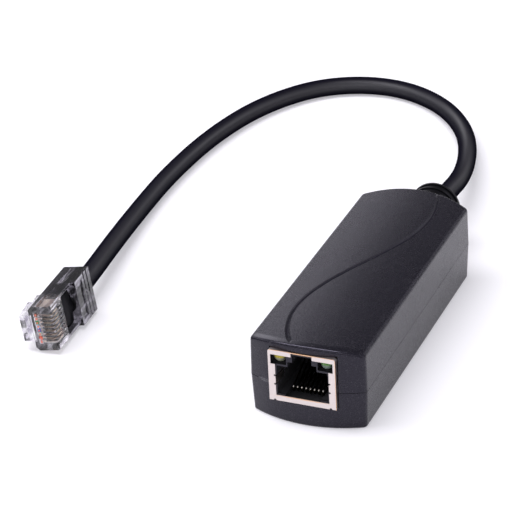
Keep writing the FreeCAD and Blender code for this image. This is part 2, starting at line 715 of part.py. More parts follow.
# Black moulding inside the shield: the stepped socket, the floor channel for the contact
# wires, two lamp cells, recesses for the grounding fingers and two board pegs.
def socket_moulding():
    body = new_body("socket_moulding")
    play = of("moulding_play")
    half = jack_half - of("shield_sheet") - play
    top = jack_top - of("shield_sheet") - play
    face = rectangle(body, "XZ_Plane", "MouldingFace", -half, half, board_top + play, top,
                     offset=-moulding_front - play)
    pad(body, face, moulding_rear - moulding_front, reverse=True)
    socket_half = jack_half - of("bar_side") - of("frame_edge")
    floor = board_top + of("bar_bottom") + of("frame_edge")
    step, key = of("step_half"), of("key_half")
    socket = mirrored([
        (socket_half, floor), (socket_half, board_top + of("socket_roof")),
        (step, board_top + of("socket_roof")), (step, board_top + of("step_roof")),
        (key, board_top + of("step_roof")), (key, board_top + of("key_roof"))])
    pocket(body, outline(body, "XZ_Plane", "Socket", socket, offset=-moulding_front),
           of("socket_depth"))
    channel = rectangle(body, "XZ_Plane", "WireChannel", -of("channel_half"),
                        of("channel_half"), board_top + of("channel_sole"),
                        floor + of("frame_edge"), offset=-moulding_front)
    pocket(body, channel, of("jack_length"))
    cell_low = step + of("frame_edge")
    cell_high = jack_half - of("bar_lamp")
    recess_low = board_top + of("tab_low") - of("finger_room")
    recess_high = board_top + of("tab_high") + of("finger_room")
    recess_side = socket_half + of("finger_recess")
    sill = board_top + of("lamp_sill")
    cell_roof = lamp_z + of("lamp_size") / 2 + of("lamp_play")
    for side, name in SIDES:
        cell = [(cell_low, sill), (cell_high, sill), (cell_high, cell_roof),
                (cell_low, cell_roof)]
        pocket(body, outline(body, "XZ_Plane", name + "LampCell", on_side(side, cell),
                             offset=-moulding_front), of("jack_length"))
        recess = [(socket_half - play, recess_low), (recess_side, recess_low),
                  (recess_side, recess_high), (socket_half - play, recess_high)]
        pocket(body, outline(body, "XZ_Plane", name + "FingerRecess", on_side(side, recess),
                             offset=-moulding_front), of("finger_length") + of("finger_room"))
    peg_y = jack_front + of("peg_setback")
    pegs = circles(body, "XY_Plane", "Pegs",
                   [(-of("peg_spread") / 2, peg_y), (of("peg_spread") / 2, peg_y)],
                   of("peg_size"), offset=board_top + play)
    pad(body, pegs, of("board_sheet") + of("pin_below") / 2, reverse=True)
    return body


# Straight runs joined by tangent arcs, and the arcs' radii. Without a bend radius each arc
# is as large as its two runs allow, as in a free lead.
def rounded_path(points, bend=None):
    edges, radii = [], []
    start = points[0]
    for before, corner, after in zip(points, points[1:], points[2:]):
        inward, outward = corner - before, after - corner
        half_turn = inward.getAngle(outward) / 2
        radius = bend or 0.45 * min(inward.Length, outward.Length) / math.tan(half_turn)
        reach = radius * math.tan(half_turn)
        arc_start = corner - inward.normalize() * reach
        arc_end = corner + outward.normalize() * reach
        towards = ((arc_start + arc_end) * 0.5 - corner).normalize()
        middle = corner + towards * (radius / math.cos(half_turn) - radius)
        edges.append(Part.LineSegment(start, arc_start).toShape())
        edges.append(Part.Arc(arc_start, middle, arc_end).toShape())
        radii.append(round(radius, 1))
        start = arc_end
    edges.append(Part.LineSegment(start, points[-1]).toShape())
    return Part.Wire(edges), radii


def tube(points, diameter, bend=None):
    path, radii = rounded_path(points, bend)
    ring = Part.Wire([Part.makeCircle(diameter / 2, points[0], points[1] - points[0])])
    return path.makePipeShell([ring], True, False)


# Eight sprung contact wires: tail through the board, run along the channel, bend at the
# front and slope back up into the socket.
def socket_contacts():
    wire = of("contact_wire").number
    run = board_top.number + of("channel_sole").number + wire
    front = jack_front.number + of("contact_setback").number
    foot = board_under.number - of("pin_below").number
    rise, lift = of("contact_bend").number, of("contact_lift").number
    shapes = []
    for index in range(contact_count):
        x, tail = contact_x(index), contact_tails[index % 2].number
        points = [Vector(x, tail, foot), Vector(x, tail, run), Vector(x, front, run),
                  Vector(x, front, run + rise),
                  Vector(x, front + of("contact_slope").number, run + rise + lift)]
        shapes.append(tube(points, wire, wire * 1.1))
    return shape_node("socket_contacts", shapes)


# Round-fronted lamp lying along the socket; its turned profile is (distance from the rear,
# radius).
def lamp(label, side):
    body = new_body(label)
    ball = of("lamp_size") / 2
    length = of("lamp_length")
    corners = [(0, 0), (length, 0), (length - ball, ball), (0, ball)]
    sketch = outline(body, "YZ_Plane", label + "Profile", corners, {1: ball})
    spin(body, sketch, "H_Axis")
    body.Placement = Placement(Vector(), Rotation(Vector(0, 0, 1), 180))
    bind(body, ".Placement.Base.x", lamp_x * side)
    bind(body, ".Placement.Base.y", jack_front + of("lamp_setback") + length)
    bind(body, ".Placement.Base.z", lamp_z)
    return body


def lamp_lead_spots():
    gap = of("lamp_lead_pitch").number / 2
    return [(side * lamp_x.number + step * gap, lamp_tail.number)
            for side in (-1, 1) for step in (-1, 1)]


def lamp_leads():
    start = jack_front.number + of("lamp_setback").number + of("lamp_length").number
    foot = board_under.number - of("pin_below").number
    shapes = []
    for x, y in lamp_lead_spots():
        points = [Vector(x, start, lamp_z.number), Vector(x, y, lamp_z.number),
                  Vector(x, y, foot)]
        shapes.append(tube(points, of("lead_wire").number, of("lead_wire").number * 1.5))
    return shape_node("lamp_leads", shapes)


# Components on the board are placed by the middle of their footprint, from the socket or
# from the board's rear and side edges.
front_row = jack_rear + of("front_row_offset")
second_row = jack_rear + of("second_row_offset")
TRANSFORMER_SPOT = (of("transformer_inset") - board_half,
                    board_rear - of("transformer_ahead"))
INPUT_CAPACITOR_SPOT = (board_half - of("input_can_inset"),
                        board_rear - of("input_can_ahead"))
OUTPUT_CAPACITOR_SPOT = (board_half - of("output_can_inset"),
                         board_rear - of("output_can_ahead"))
INDUCTOR_SPOT = (of("inductor_inset") - board_half, board_rear - of("inductor_ahead"))
SAFETY_CAPACITOR_SPOT = (of("safety_inset") - board_half,
                         board_rear - of("safety_ahead"))

# Moulded chips: place, body size along and across the leads, leads on each side and their
# pitch, how far they stand out and how wide they are. turn is 0 where the leads stand out
# along X and 90 where they stand out along Y.
CHIPS = {
    "network_transformer": dict(spot=(0, front_row), size=(7.0, 12.7, 4.9), per_side=8,
                                pitch=1.27, reach=1.5, wide=0.4, turn=90),
    "input_bridge": dict(spot=(of("input_bridge_inset") - board_half, front_row),
                         size=(3.9, 4.7, 2.4), per_side=2, pitch=2.5, reach=0.8, wide=0.6, turn=90),
    "spare_bridge": dict(spot=(of("spare_bridge_inset") - board_half, second_row),
                         size=(3.9, 4.7, 2.4), per_side=2, pitch=2.5, reach=0.8, wide=0.6, turn=90),
    "control_chip": dict(spot=(of("control_chip_offset"), second_row),
                         size=(3.9, 4.9, 1.5), per_side=4, pitch=1.27, reach=1.0, wide=0.4, turn=0),
    "power_switch": dict(spot=(board_half - of("power_switch_inset"), second_row),
                         size=(3.5, 6.4, 1.6), per_side=3, pitch=2.3, reach=1.3, wide=0.8, turn=90),
    "surge_suppressor": dict(spot=(board_half - of("suppressor_inset"), front_row),
                             size=(4.4, 3.6, 2.3), per_side=1, pitch=1.0, reach=0.5, wide=2.0, turn=90),
    "output_diode": dict(spot=(board_half - of("output_chips_inset"),
                               board_rear - of("output_diode_ahead")),
                         size=(4.4, 2.6, 2.1), per_side=1, pitch=1.0, reach=0.5, wide=1.5, turn=0),
    "feedback_coupler": dict(spot=(board_half - of("output_chips_inset"),
                                   board_rear - of("coupler_ahead")),
                             size=(4.6, 4.5, 3.4), per_side=2, pitch=2.54, reach=1.4,
                             wide=0.5, turn=0),
}


def place(spot):
    return as_size(spot[0]).number, as_size(spot[1]).number


def pin_pair(spot, pitch, along=(1, 0)):
    x, y = place(spot)
    reach = of(pitch).number / 2
    return [(x + side * reach * along[0], y + side * reach * along[1]) for side in (-1, 1)]


def transformer_pins():
    x, y = place(TRANSFORMER_SPOT)
    reach = of("bobbin_depth").number / 2 - of("bobbin_pin_inset").number
    pitch = of("bobbin_pin_pitch").number
    return [(x + (step - 1.5) * pitch, y + side * reach)
            for side in (-1, 1) for step in range(4)]


def inductor_pins():
    return pin_pair(INDUCTOR_SPOT, "disc_pitch", along=(0, 1))


def safety_pins():
    return pin_pair(SAFETY_CAPACITOR_SPOT, "disc_pitch")


def board_pins():
    return (transformer_pins() + inductor_pins() + safety_pins()
            + pin_pair(INPUT_CAPACITOR_SPOT, "capacitor_pitch")
            + pin_pair(OUTPUT_CAPACITOR_SPOT, "capacitor_pitch"))


def contact_x(index):
    return (index - (contact_count - 1) / 2) * of("contact_pitch").number


# The board, drilled for the posts, the socket's pegs and legs, the contact tails, the
# lamps' leads and the components' pins.
def circuit_board():
    body = new_body("Board")
    face = rectangle(body, "XY_Plane", "BoardFace", -board_half, board_half, board_front,
                     board_rear, offset=board_under)
    base = pad(body, face, of("board_sheet"))
    round_edges(body, base, "BoardCorners", is_upright, of("board_corner"))
    play = of("hole_play").number
    low = board_under.number - OVERCUT
    deep = of("board_sheet").number + OVERCUT * 2
    holes = []

    def drill(x, y, diameter):
        holes.append(Part.makeCylinder(diameter / 2 + play, deep, Vector(x, y, low)))

    for spot in post_spots:
        drill(*place(spot), of("post_pin").number)
    peg_y = jack_front.number + of("peg_setback").number
    leg_y = jack_front.number + of("leg_setback").number
    leg_x = jack_half.number - of("shield_sheet").number / 2
    wide = of("shield_sheet").number + play * 2
    for side, name in SIDES:
        drill(side * of("peg_spread").number / 2, peg_y, of("peg_size").number)
        holes.append(Part.makeBox(wide, of("leg_width").number + play * 2, deep,
                                  Vector(side * leg_x - wide / 2, leg_y - play, low)))
    for index in range(contact_count):
        drill(contact_x(index), contact_tails[index % 2].number, of("contact_wire").number)
    for x, y in lamp_lead_spots() + board_pins():
        drill(x, y, of("lead_wire").number)
    return cut("circuit_board", body, [shape_node("BoardHoles", holes)])


# A component's shape with its pins, which run from inside it down through the board.
def with_pins(shape, spots, foot):
    top = foot + of("pin_root").number
    low = board_under.number - of("pin_below").number
    for x, y in spots:
        pin = Part.makeCylinder(of("lead_wire").number / 2, top - low, Vector(x, y, low))
        shape = shape.fuse(pin)
    return shape.removeSplitter()


# Gull-wing lead in section: foot, riser and shoulder, drawn outwards from the body's side.
def wing_lead(reach, rise, wide):
    thick = of("chip_lead").number
    rooted = -of("chip_root").number
    shoulder, foot = reach * 0.45, reach * 0.55
    points = [Vector(rooted, 0, rise), Vector(shoulder, 0, rise), Vector(foot, 0, 0),
              Vector(reach, 0, 0), Vector(reach, 0, thick), Vector(foot + thick, 0, thick),
              Vector(shoulder + thick, 0, rise + thick), Vector(rooted, 0, rise + thick)]
    face = Part.Face(Part.makePolygon(points + [points[0]]))
    lead = face.extrude(Vector(0, wide, 0))
    lead.translate(Vector(0, -wide / 2, 0))
    return lead


def chip(label, spot, size, per_side, pitch, reach, wide, turn):
    length, depth, height = size
    stand = of("chip_stand").number
    block = Part.makeBox(length, depth, height, Vector(-length / 2, -depth / 2, stand))
    rims = [edge for edge in block.Edges if edge.BoundBox.ZMin > stand + height / 2]
    shape = block.makeChamfer(of("chip_bevel").number, rims)
    for side in (0, 180):
        for index in range(per_side):
            lead = wing_lead(reach, height * 0.4, wide)
            lead.translate(Vector(length / 2, (index - (per_side - 1) / 2) * pitch, 0))
            lead.rotate(Vector(), Vector(0, 0, 1), side)
            shape = shape.fuse(lead)
    shape.rotate(Vector(), Vector(0, 0, 1), turn)
    x, y = place(spot)
    shape.translate(Vector(x, y, board_top.number))
    return shape_node(label, [shape.removeSplitter()])


# A solid turned about an upright axis, from its profile of (radius, height).
def turned(points, spot, foot):
    profile = [Vector(radius, 0, height) for radius, height in points]
    face = Part.Face(Part.makePolygon(profile + [profile[0]]))
    shape = face.revolve(Vector(), Vector(0, 0, 1), 360)
    x, y = place(spot)
    shape.translate(Vector(x, y, foot))
    return shape


def electrolytic(label, spot, height):
    half = of("can_size").number / 2
    neck, rim = of("can_neck").number, of("can_rim").number
    points = [(0, 0), (half, 0), (half, neck * 3), (half - neck, neck * 4), (half, neck * 5),
              (half, height - rim), (half - rim, height), (half - rim * 2, height),
              (half - rim * 2, height - rim), (0, height - rim)]
    foot = board_top.number + of("can_stand").number
    shape = with_pins(turned(points, spot, foot), pin_pair(spot, "capacitor_pitch"), foot)
    return shape_node(label, [shape])


def middle_box(spot, wide, depth, low, high):
    x, y = place(spot)
    return Part.makeBox(wide, depth, high - low, Vector(x - wide / 2, y - depth / 2, low))


# Small power transformer: a closed ferrite core round an upright bobbin with two flanges
# and a winding between them.
def transformer_core():
    x, y = place(TRANSFORMER_SPOT)
    wide, high, thick = (of(name).number for name in ("core_width", "core_height", "core_depth"))
    leg = of("core_leg").number
    base = board_top.number + of("bobbin_foot").number
    core = middle_box(TRANSFORMER_SPOT, wide, thick, base, base + high)
    window = wide / 2 - leg * 1.5
    for side in (-1, 1):
        middle = x + side * (leg + window) / 2
        core = core.cut(middle_box((middle, y), window, thick + OVERCUT * 2, base + leg,
                                   base + high - leg))
    return shape_node("transformer_core", [core])


# Lower and upper face of the bobbin inside the core's windows, and its width there.
def bobbin_space():
    play, leg = of("hole_play").number, of("core_leg").number
    low = board_top.number + of("bobbin_foot").number + leg + play
    high = low + of("core_height").number - (leg + play) * 2
    return low, high, of("core_width").number - (leg + play) * 2


def barrel_size(thick):
    around = (of("hole_play").number + thick) * 2
    return of("core_leg").number + around, of("core_depth").number + around


def transformer_bobbin():
    low, high, wide = bobbin_space()
    depth, thick = of("bobbin_depth").number, of("bobbin_wall").number
    foot = board_top.number
    shape = middle_box(TRANSFORMER_SPOT, *barrel_size(thick), low, high)
    for level in (low, high - thick):
        shape = shape.fuse(middle_box(TRANSFORMER_SPOT, wide, depth, level, level + thick))
    rail = (depth - of("core_depth").number) / 2 - of("hole_play").number
    x, y = place(TRANSFORMER_SPOT)
    for side in (-1, 1):
        middle = y + side * (depth - rail) / 2
        shape = shape.fuse(middle_box((x, middle), wide, rail, foot, low + thick))
    shape = shape.cut(middle_box(TRANSFORMER_SPOT, *barrel_size(0), low - OVERCUT,
                                 high + OVERCUT))
    return shape_node("transformer_bobbin", [with_pins(shape, transformer_pins(), foot)])


def transformer_winding():
    low, high, wide = bobbin_space()
    thick, inset = of("bobbin_wall").number, of("winding_inset").number * 2
    coil = middle_box(TRANSFORMER_SPOT, wide - inset, of("bobbin_depth").number - inset * 2,
                      low + thick, high - thick)
    corners = [edge for edge in coil.Edges if edge.BoundBox.ZLength > thick]
    coil = coil.makeFillet(of("winding_round").number, corners)
    hole = middle_box(TRANSFORMER_SPOT, *barrel_size(thick), low, high)
    return shape_node("transformer_winding", [coil.cut(hole)])


def inductor_core():
    half, drum = of("inductor_size").number / 2, of("drum_size").number / 2
    rim, tall = of("drum_rim").number, of("inductor_rise").number
    foot = board_top.number + of("drum_stand").number
    points = [(0, 0), (half, 0), (half, rim), (drum, rim), (drum, tall - rim),
              (half, tall - rim), (half, tall), (0, tall)]
    shape = turned(points, INDUCTOR_SPOT, foot)
    return shape_node("inductor_core", [with_pins(shape, inductor_pins(), foot)])


def inductor_winding():
    half, drum = of("inductor_size").number / 2, of("drum_size").number / 2
    low = of("drum_rim").number
    high = of("inductor_rise").number - low
    inset = of("winding_inset").number
    points = [(drum, low), (half - inset * 2, low), (half - inset, low + inset * 3),
              (half - inset, high - inset * 3), (half - inset * 2, high), (drum, high)]
    foot = board_top.number + of("drum_stand").number
    return shape_node("inductor_winding", [turned(points, INDUCTOR_SPOT, foot)])


def safety_capacitor():
    x, y = place(SAFETY_CAPACITOR_SPOT)
    half = of("disc_size").number / 2
    thick = of("disc_thickness").number
    middle = board_top.number + of("disc_stand").number + half
    disc = Part.makeCylinder(half, thick, Vector(x, y - thick / 2, middle), Vector(0, 1, 0))
    rims = [edge for edge in disc.Edges if edge.BoundBox.XLength > half]
    shape = disc.makeFillet(of("disc_round").number, rims)
    return shape_node("safety_capacitor", [with_pins(shape, safety_pins(), middle)])


def chip_parts():
    length, width = of("chip_part_length").number, of("chip_part_width").number
    high = of("chip_part_rise").number
    shapes = []
    for column in (-1, 0, 1):
        for line in range(4):
            x = column * of("chip_part_column").number
            y = front_row.number + line * of("chip_part_line").number
            shapes.append(middle_box((x, y), length, width, board_under.number - high,
                                     board_under.number))
    return shape_node("chip_parts", shapes)


CONDUCTORS = ["white_orange", "orange", "white_green", "blue", "white_blue", "green",
              "white_brown", "brown"]


# Conductors lie side by side in a row, and in two layers of four inside the jacket.
def bundle_spot(index):
    layer = -0.5 if index % 2 == 0 else 0.5
    column = index // 2 - 1.5
    return column * of("bundle_pitch").number, layer * of("bundle_rise").number


def row_spot(index, pitch):
    return (index - (len(CONDUCTORS) - 1) / 2) * of(pitch).number


# The inner ends of the lead: each conductor leaves the jacket and turns down to its pad.
def board_wire(index):
    across, lift = bundle_spot(index)
    height = seam.number + lift
    pad_x = row_spot(index, "pad_pitch")
    setback = of("pad_setback").number + of("pad_stagger").number * (index % 2)
    pad_y = board_rear.number - setback
    start = jacket_end.number
    points = [Vector(across, start, height),
              Vector(across, start - of("wire_out").number, height),
              Vector(pad_x, pad_y, height), Vector(pad_x, pad_y, board_top.number)]
    shape = tube(points, of("conductor").number, of("wire_bend").number)
    return shape_node("board_wire_" + CONDUCTORS[index], [shape])


# The free lead. Its points are chosen by hand: out of the gland, round on the surface and
# up into the plug.
LEAD_ROUTE = [
    Vector(0.0, jacket_end.number, seam.number), Vector(0.0, 56.5, seam.number),
    Vector(-0.3, 78.3, 6.6), Vector(-8.9, 107.2, 3.3), Vector(-22.8, 125.7, 2.5),
    Vector(-40.5, 133.2, 2.5), Vector(-58.9, 127.7, 2.5), Vector(-70.9, 110.7, 2.5),
    Vector(-76.8, 88.3, 2.5), Vector(-78.6, 62.8, 2.5), Vector(-77.6, 41.3, 2.7),
    Vector(-75.2, 19.9, 4.0), Vector(-71.6, -3.1, 6.0), Vector(-70.7, -16.0, 6.4),
]


def network_lead():
    path, radii = rounded_path(LEAD_ROUTE)
    shape = tube(LEAD_ROUTE, of("cable_size").number)
    section = math.pi * of("cable_size").number ** 2 / 4
    print("lead length", round(path.Length, 1), "bend radii", radii)
    print("lead volume over section times length",
          round(shape.Volume / section / path.Length, 5))
    return shape_node("network_lead", [shape])


# The plug lies beside the housing on its narrow side. Its own frame: X from the latch side
# to the contact side, Y from the front to the rear, Z along the row of contacts.
PLUG_PLACE = Placement(Vector(-73.3, -29.25, 6.17), Rotation(4.3, -8.6, -1.5))


# Clear body of the plug: row and spreading room for the conductors, entry for the jacket,
# open window, slots for the contacts, sunk panel and cross grooves, and the integral latch.
def plug_body():
    body = new_body("plug_body")
    nose, flange, length = of("nose_height"), of("flange_front"), of("plug_length")
    top = nose + of("flange_step")
    wide, bevel, play = of("plug_width"), of("nose_bevel"), of("wire_play")
    side = [(0, 0), (nose - bevel, 0), (nose, bevel), (nose, flange), (top, flange),
            (top, length), (0, length)]
    base = pad(body, outline(body, "XY_Plane", "PlugSide", side), wide, both_ways=True)
    round_edges(body, base, "LatchSideBevel",
                lambda edge, middle: abs(middle.x) < 0.01 and abs(middle.z) > 1,
                of("corner_bevel"), "Chamfer")
    row = of("row_height")
    wire_half = of("conductor") / 2 + play
    row_width = of("row_pitch") * (contact_count - 1) + wire_half * 2
    row_slot = rectangle(body, "XY_Plane", "WireRow", row - wire_half, row + wire_half,
                         -OVERCUT, of("fan_front") + wire_half)
    pocket(body, row_slot, row_width, both_ways=True)
    fan = rectangle(body, "XY_Plane", "FanRoom", row - wire_half,
                    of("cable_height") + of("fan_rise"), of("fan_front"), of("jacket_depth"))
    pocket(body, fan, row_width + play * 4, both_ways=True)
    window = rectangle(body, "XY_Plane", "Window", of("cable_height"), top + OVERCUT,
                       of("window_front"), flange)
    pocket(body, window, wide - of("plug_wall") * 2, both_ways=True)
    entry = circles(body, "XZ_Plane", "CableEntry", [(of("cable_height"), 0)],
                    of("cable_size") + of("cable_play") * 2, offset=-length)
    pocket(body, entry, length - of("jacket_depth"), reverse=True)
    panel_start = flange + of("panel_margin")
    panel = rectangle(body, "XY_Plane", "FlangePanel", top - of("panel_depth"),
                      top + OVERCUT, panel_start, panel_start + of("panel_length"))
    pocket(body, panel, wide - of("panel_margin") * 2, both_ways=True)
    for index in range(2):
        start = flange + of("band_start") + of("band_pitch") * index
        band = rectangle(body, "XY_Plane", f"FlangeBand{index}", top - of("band_depth"),
                         top + OVERCUT, start, start + of("band_width"))
        pocket(body, band, wide + OVERCUT, both_ways=True)
    pad(body, latch_outline(body), of("latch_width"), both_ways=True)
    end = of("latch_reach") + OVERCUT
    for side, name in ((-1, "Low"), (1, "High")):
        slim = rectangle(body, "YZ_Plane", name + "LatchSide", of("shoulder_depth"), end,
                         of("latch_tip") / 2 * side, of("latch_width") * side,
                         offset=-of("latch_bite"))
        pocket(body, slim, of("latch_drop") * 3)
    roof = row + of("conductor") / 2
    front = of("blade_front") - play * 2
    rear = of("blade_front") + of("blade_length") + of("blade_room")
    ledge = roof + of("slot_ledge")
    slot = outline(body, "XY_Plane", "BladeSlot",
                   [(roof, front), (ledge, front), (ledge, -OVERCUT),
                    (nose + OVERCUT, -OVERCUT), (nose + OVERCUT, rear), (roof, rear)],
                   offset=-of("row_pitch") * (contact_count - 1) / 2)
    cutter = pocket(body, slot, of("blade_sheet") + play * 2, both_ways=True)
    doc.recompute()
    pattern = body.newObject("PartDesign::LinearPattern", "BladeSlots")
    pattern.Originals = [cutter]
    along = [item for item in body.Origin.OriginFeatures if item.Role == "Z_Axis"][0]
    pattern.Direction = (along, [""])
    pattern.Occurrences = contact_count
    bind(pattern, "Length", of("row_pitch") * (contact_count - 1))
    body.Tip = pattern
    body.Placement = PLUG_PLACE
    return body


# The latch in section: a short root at the front and a springy tongue that runs back.
def latch_outline(body):
    drop, reach, thick = of("latch_drop"), of("latch_reach"), of("latch_sheet")
    bite, front = of("latch_bite"), of("latch_front")
    tip = drop + of("latch_rise")
    root_end = front + of("latch_root")
    corners = [(bite, front), (bite, root_end), (thick - drop, root_end),
               (thick - tip, reach), (-tip, reach), (-drop, front)]
    return outline(body, "XY_Plane", "Latch", corners)


# Eight flat contacts with a rounded front corner and a lower rear part.
def plug_contacts():
    low = of("row_height").number + of("conductor").number / 2 + of("wire_play").number
    high = of("nose_height").number - of("blade_sink").number
    front, bend = of("blade_front").number, of("blade_bend").number
    crest_end = front + of("blade_crest").number
    step = of("blade_step").number
    end = front + of("blade_length").number
    corner = Vector(high - bend, front + bend, 0)
    half_way = corner + Vector(1, -1, 0).normalize() * bend
    spots = [Vector(low, front, 0), Vector(high - bend, front, 0),
             Vector(high, front + bend, 0), Vector(high, crest_end, 0),
             Vector(high - step, crest_end + step / 2, 0), Vector(high - step, end, 0),
             Vector(low, end, 0)]
    edges = [Part.makeLine(spots[0], spots[1]),
             Part.Arc(spots[1], half_way, spots[2]).toShape()]
    edges += [Part.makeLine(start, end) for start, end in zip(spots[2:], spots[3:])]
    edges.append(Part.makeLine(spots[-1], spots[0]))
    face = Part.Face(Part.Wire(edges))
    thick = of("blade_sheet").number
    shapes = []
    for index in range(contact_count):
        blade = face.extrude(Vector(0, 0, thick))
        blade.translate(Vector(0, 0, row_spot(index, "row_pitch") - thick / 2))
        shapes.append(blade)
    item = shape_node("plug_contacts", shapes)
    item.Placement = PLUG_PLACE
    return item


# One conductor in the plug, bored at its front end for the bare wire.
def plug_wire(index):
    across, lift = bundle_spot(index)
    row, front = of("row_height").number, of("wire_setback").number
    level = of("cable_height").number + lift
    spot = row_spot(index, "row_pitch")
    bend, end = of("wire_bend").number, of("jacket_depth").number
    start = of("fan_front").number + of("conductor").number / 2
    points = [Vector(row, front, spot), Vector(row, start, spot),
              Vector(level, start + of("fan_length").number, spot),
              Vector(level, end - bend, across), Vector(level, end, across)]
    shape = tube(points, of("conductor").number, bend)
    bore = Part.makeCylinder(of("core_wire").number / 2, of("core_bite").number, points[0],
                             Vector(0, 1, 0))
    item = shape_node("plug_wire_" + CONDUCTORS[index], [shape.cut(bore)])
    item.Placement = PLUG_PLACE
    return item


def plug_wire_cores():
    stand, bite = of("core_stand").number, of("core_bite").number
    row, front = of("row_height").number, of("wire_setback").number - stand
    shapes = [Part.makeCylinder(of("core_wire").number / 2, stand + bite,
                                Vector(row, front, row_spot(index, "row_pitch")),
                                Vector(0, 1, 0)) for index in range(contact_count)]
    item = shape_node("plug_wire_cores", shapes)
    item.Placement = PLUG_PLACE
    return item


NODES = [
    upper_shell(), lower_shell(), cable_gland(),
    jack_shield(), socket_moulding(), socket_contacts(),
    lamp("yellow_lamp", -1), lamp("green_lamp", 1), lamp_leads(),
    circuit_board(), chip_parts(),
    transformer_core(), transformer_bobbin(), transformer_winding(),
    inductor_core(), inductor_winding(), safety_capacitor(),
    electrolytic("input_capacitor", INPUT_CAPACITOR_SPOT, of("input_can_rise").number),
    electrolytic("output_capacitor", OUTPUT_CAPACITOR_SPOT, of("output_can_rise").number),
    network_lead(), plug_body(), plug_contacts(), plug_wire_cores(),
]
NODES += [chip(label, **sizes) for label, sizes in CHIPS.items()]
NODES += [board_wire(index) for index in range(len(CONDUCTORS))]
NODES += [plug_wire(index) for index in range(len(CONDUCTORS))]

doc.recompute()
for item in doc.Objects:
    if "Invalid" in item.State or "Error" in item.State:
        raise RuntimeError(f"{item.Name} failed: {item.State}")
for item in NODES:
    if item.Shape.isNull() or not item.Shape.isValid():
        raise RuntimeError(f"{item.Label} has no valid shape")

os.makedirs("parts", exist_ok=True)
for item in NODES:
    item.Shape.exportStep(f"parts/{item.Label}.step")
print(len(NODES), "nodes written")
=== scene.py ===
import math

import bmesh
import bpy
from mathutils import Matrix, Vector


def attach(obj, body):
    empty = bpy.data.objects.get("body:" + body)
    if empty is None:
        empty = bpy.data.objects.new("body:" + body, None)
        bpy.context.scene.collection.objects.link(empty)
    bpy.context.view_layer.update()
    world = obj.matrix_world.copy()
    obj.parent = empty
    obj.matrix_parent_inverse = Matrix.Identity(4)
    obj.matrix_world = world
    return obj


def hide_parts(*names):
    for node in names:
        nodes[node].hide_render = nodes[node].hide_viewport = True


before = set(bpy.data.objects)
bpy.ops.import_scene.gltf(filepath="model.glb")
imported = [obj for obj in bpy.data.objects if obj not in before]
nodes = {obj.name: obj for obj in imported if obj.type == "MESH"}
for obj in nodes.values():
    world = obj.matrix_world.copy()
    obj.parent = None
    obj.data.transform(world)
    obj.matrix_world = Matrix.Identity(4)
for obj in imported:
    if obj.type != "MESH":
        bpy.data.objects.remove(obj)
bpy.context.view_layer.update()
mm = 0.001
alongY, alongZ = (0, 1, 0), (0, 0, 1)

# the lead's conductors and their insulation
wireColours = {
    "white_orange": (0.72, 0.68, 0.7), "orange": (0.85, 0.12, 0.05),
    "white_green": (0.62, 0.78, 0.62), "blue": (0.04, 0.12, 0.55),
    "white_blue": (0.6, 0.68, 0.85), "green": (0.03, 0.35, 0.10),
    "white_brown": (0.7, 0.6, 0.52), "brown": (0.22, 0.10, 0.05),
}
print("frame loaded:", len(nodes), "nodes")


# camera: lengths in mm, the view axis runs from the target back to the camera
cameraView = {
    "target": (0, 3.15, 10),
    "azimuth": 23.702,
    "elevation": 28.377,
    "roll": -3.058,
    "distance": 578.618,
    "acrossShift": 26.961,
    "upShift": -9.808,
    "focalPixels": 2446.553,
    "framePixels": 510,
    "sensor": 36,
    "clip": (0.01, 20),  # in metres
}


def placeCamera(view):
    turn, tilt, roll = (math.radians(view[key]) for key in ("azimuth", "elevation", "roll"))
    back = Vector((math.sin(turn) * math.cos(tilt), -math.cos(turn) * math.cos(tilt),
                   math.sin(tilt)))
    levelRight = Vector((math.cos(turn), math.sin(turn), 0))
    levelUp = back.cross(levelRight)
    right = math.cos(roll) * levelRight + math.sin(roll) * levelUp
    up = back.cross(right)
    spot = (Vector(view["target"]) - view["acrossShift"] * right - view["upShift"] * up
            + view["distance"] * back)
    data = bpy.data.cameras.new("photoCamera")
    data.sensor_width = view["sensor"]
    data.lens = view["focalPixels"] / view["framePixels"] * view["sensor"]
    data.clip_start, data.clip_end = view["clip"]
    camera = bpy.data.objects.new("photoCamera", data)
    bpy.context.scene.collection.objects.link(camera)
    turned = Matrix((right, up, back)).transposed().to_4x4()
    camera.matrix_world = Matrix.Translation(spot * mm) @ turned
    bpy.context.scene.camera = camera


placeCamera(cameraView)


# a finished bmesh as a piece that rides on the housing
def finishPiece(name, mesh):
    data = bpy.data.meshes.new(name)
    mesh.to_mesh(data)
    mesh.free()
    piece = bpy.data.objects.new(name, data)
    bpy.context.scene.collection.objects.link(piece)
    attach(piece, "root")
    return piece


# jacket's end inside the plug, pressed flat round the conductors: sections in the plug's own
# frame in mm (behind the plug's front, middle above the latch side, half width, half height)
jacketEnd = {
    "plugPlace": (-73.3, -29.25, 6.17),
    "plugTurns": (4.3, -8.6, -1.5),  # in degrees about Z, Y and X
    "sections": [(13.1, 3.6, 2.2, 1.6), (13.0, 3.6, 2.55, 1.8), (12.4, 3.6, 2.8, 1.8),
                 (11.4, 3.55, 3.3, 1.75), (10.4, 3.5, 3.85, 1.65), (9.4, 3.4, 4.05, 1.5),
                 (8.8, 3.25, 4.05, 1.4), (8.6, 3.2, 3.9, 1.2), (8.55, 3.2, 3.5, 0.9)],
    "padSections": [(12.58, 4.3, 4.0, 0.5), (12.5, 4.35, 4.8, 0.75), (11.6, 4.4, 4.9, 0.85),
                    (10.2, 4.35, 4.9, 0.8), (8.9, 4.2, 4.85, 0.65), (8.1, 4.0, 4.8, 0.5),
                    (7.9, 3.9, 4.6, 0.35), (7.85, 3.85, 4.2, 0.2)],
    "roundSteps": 40,
    "squareness": 2.6,  # 2 is an ellipse
}


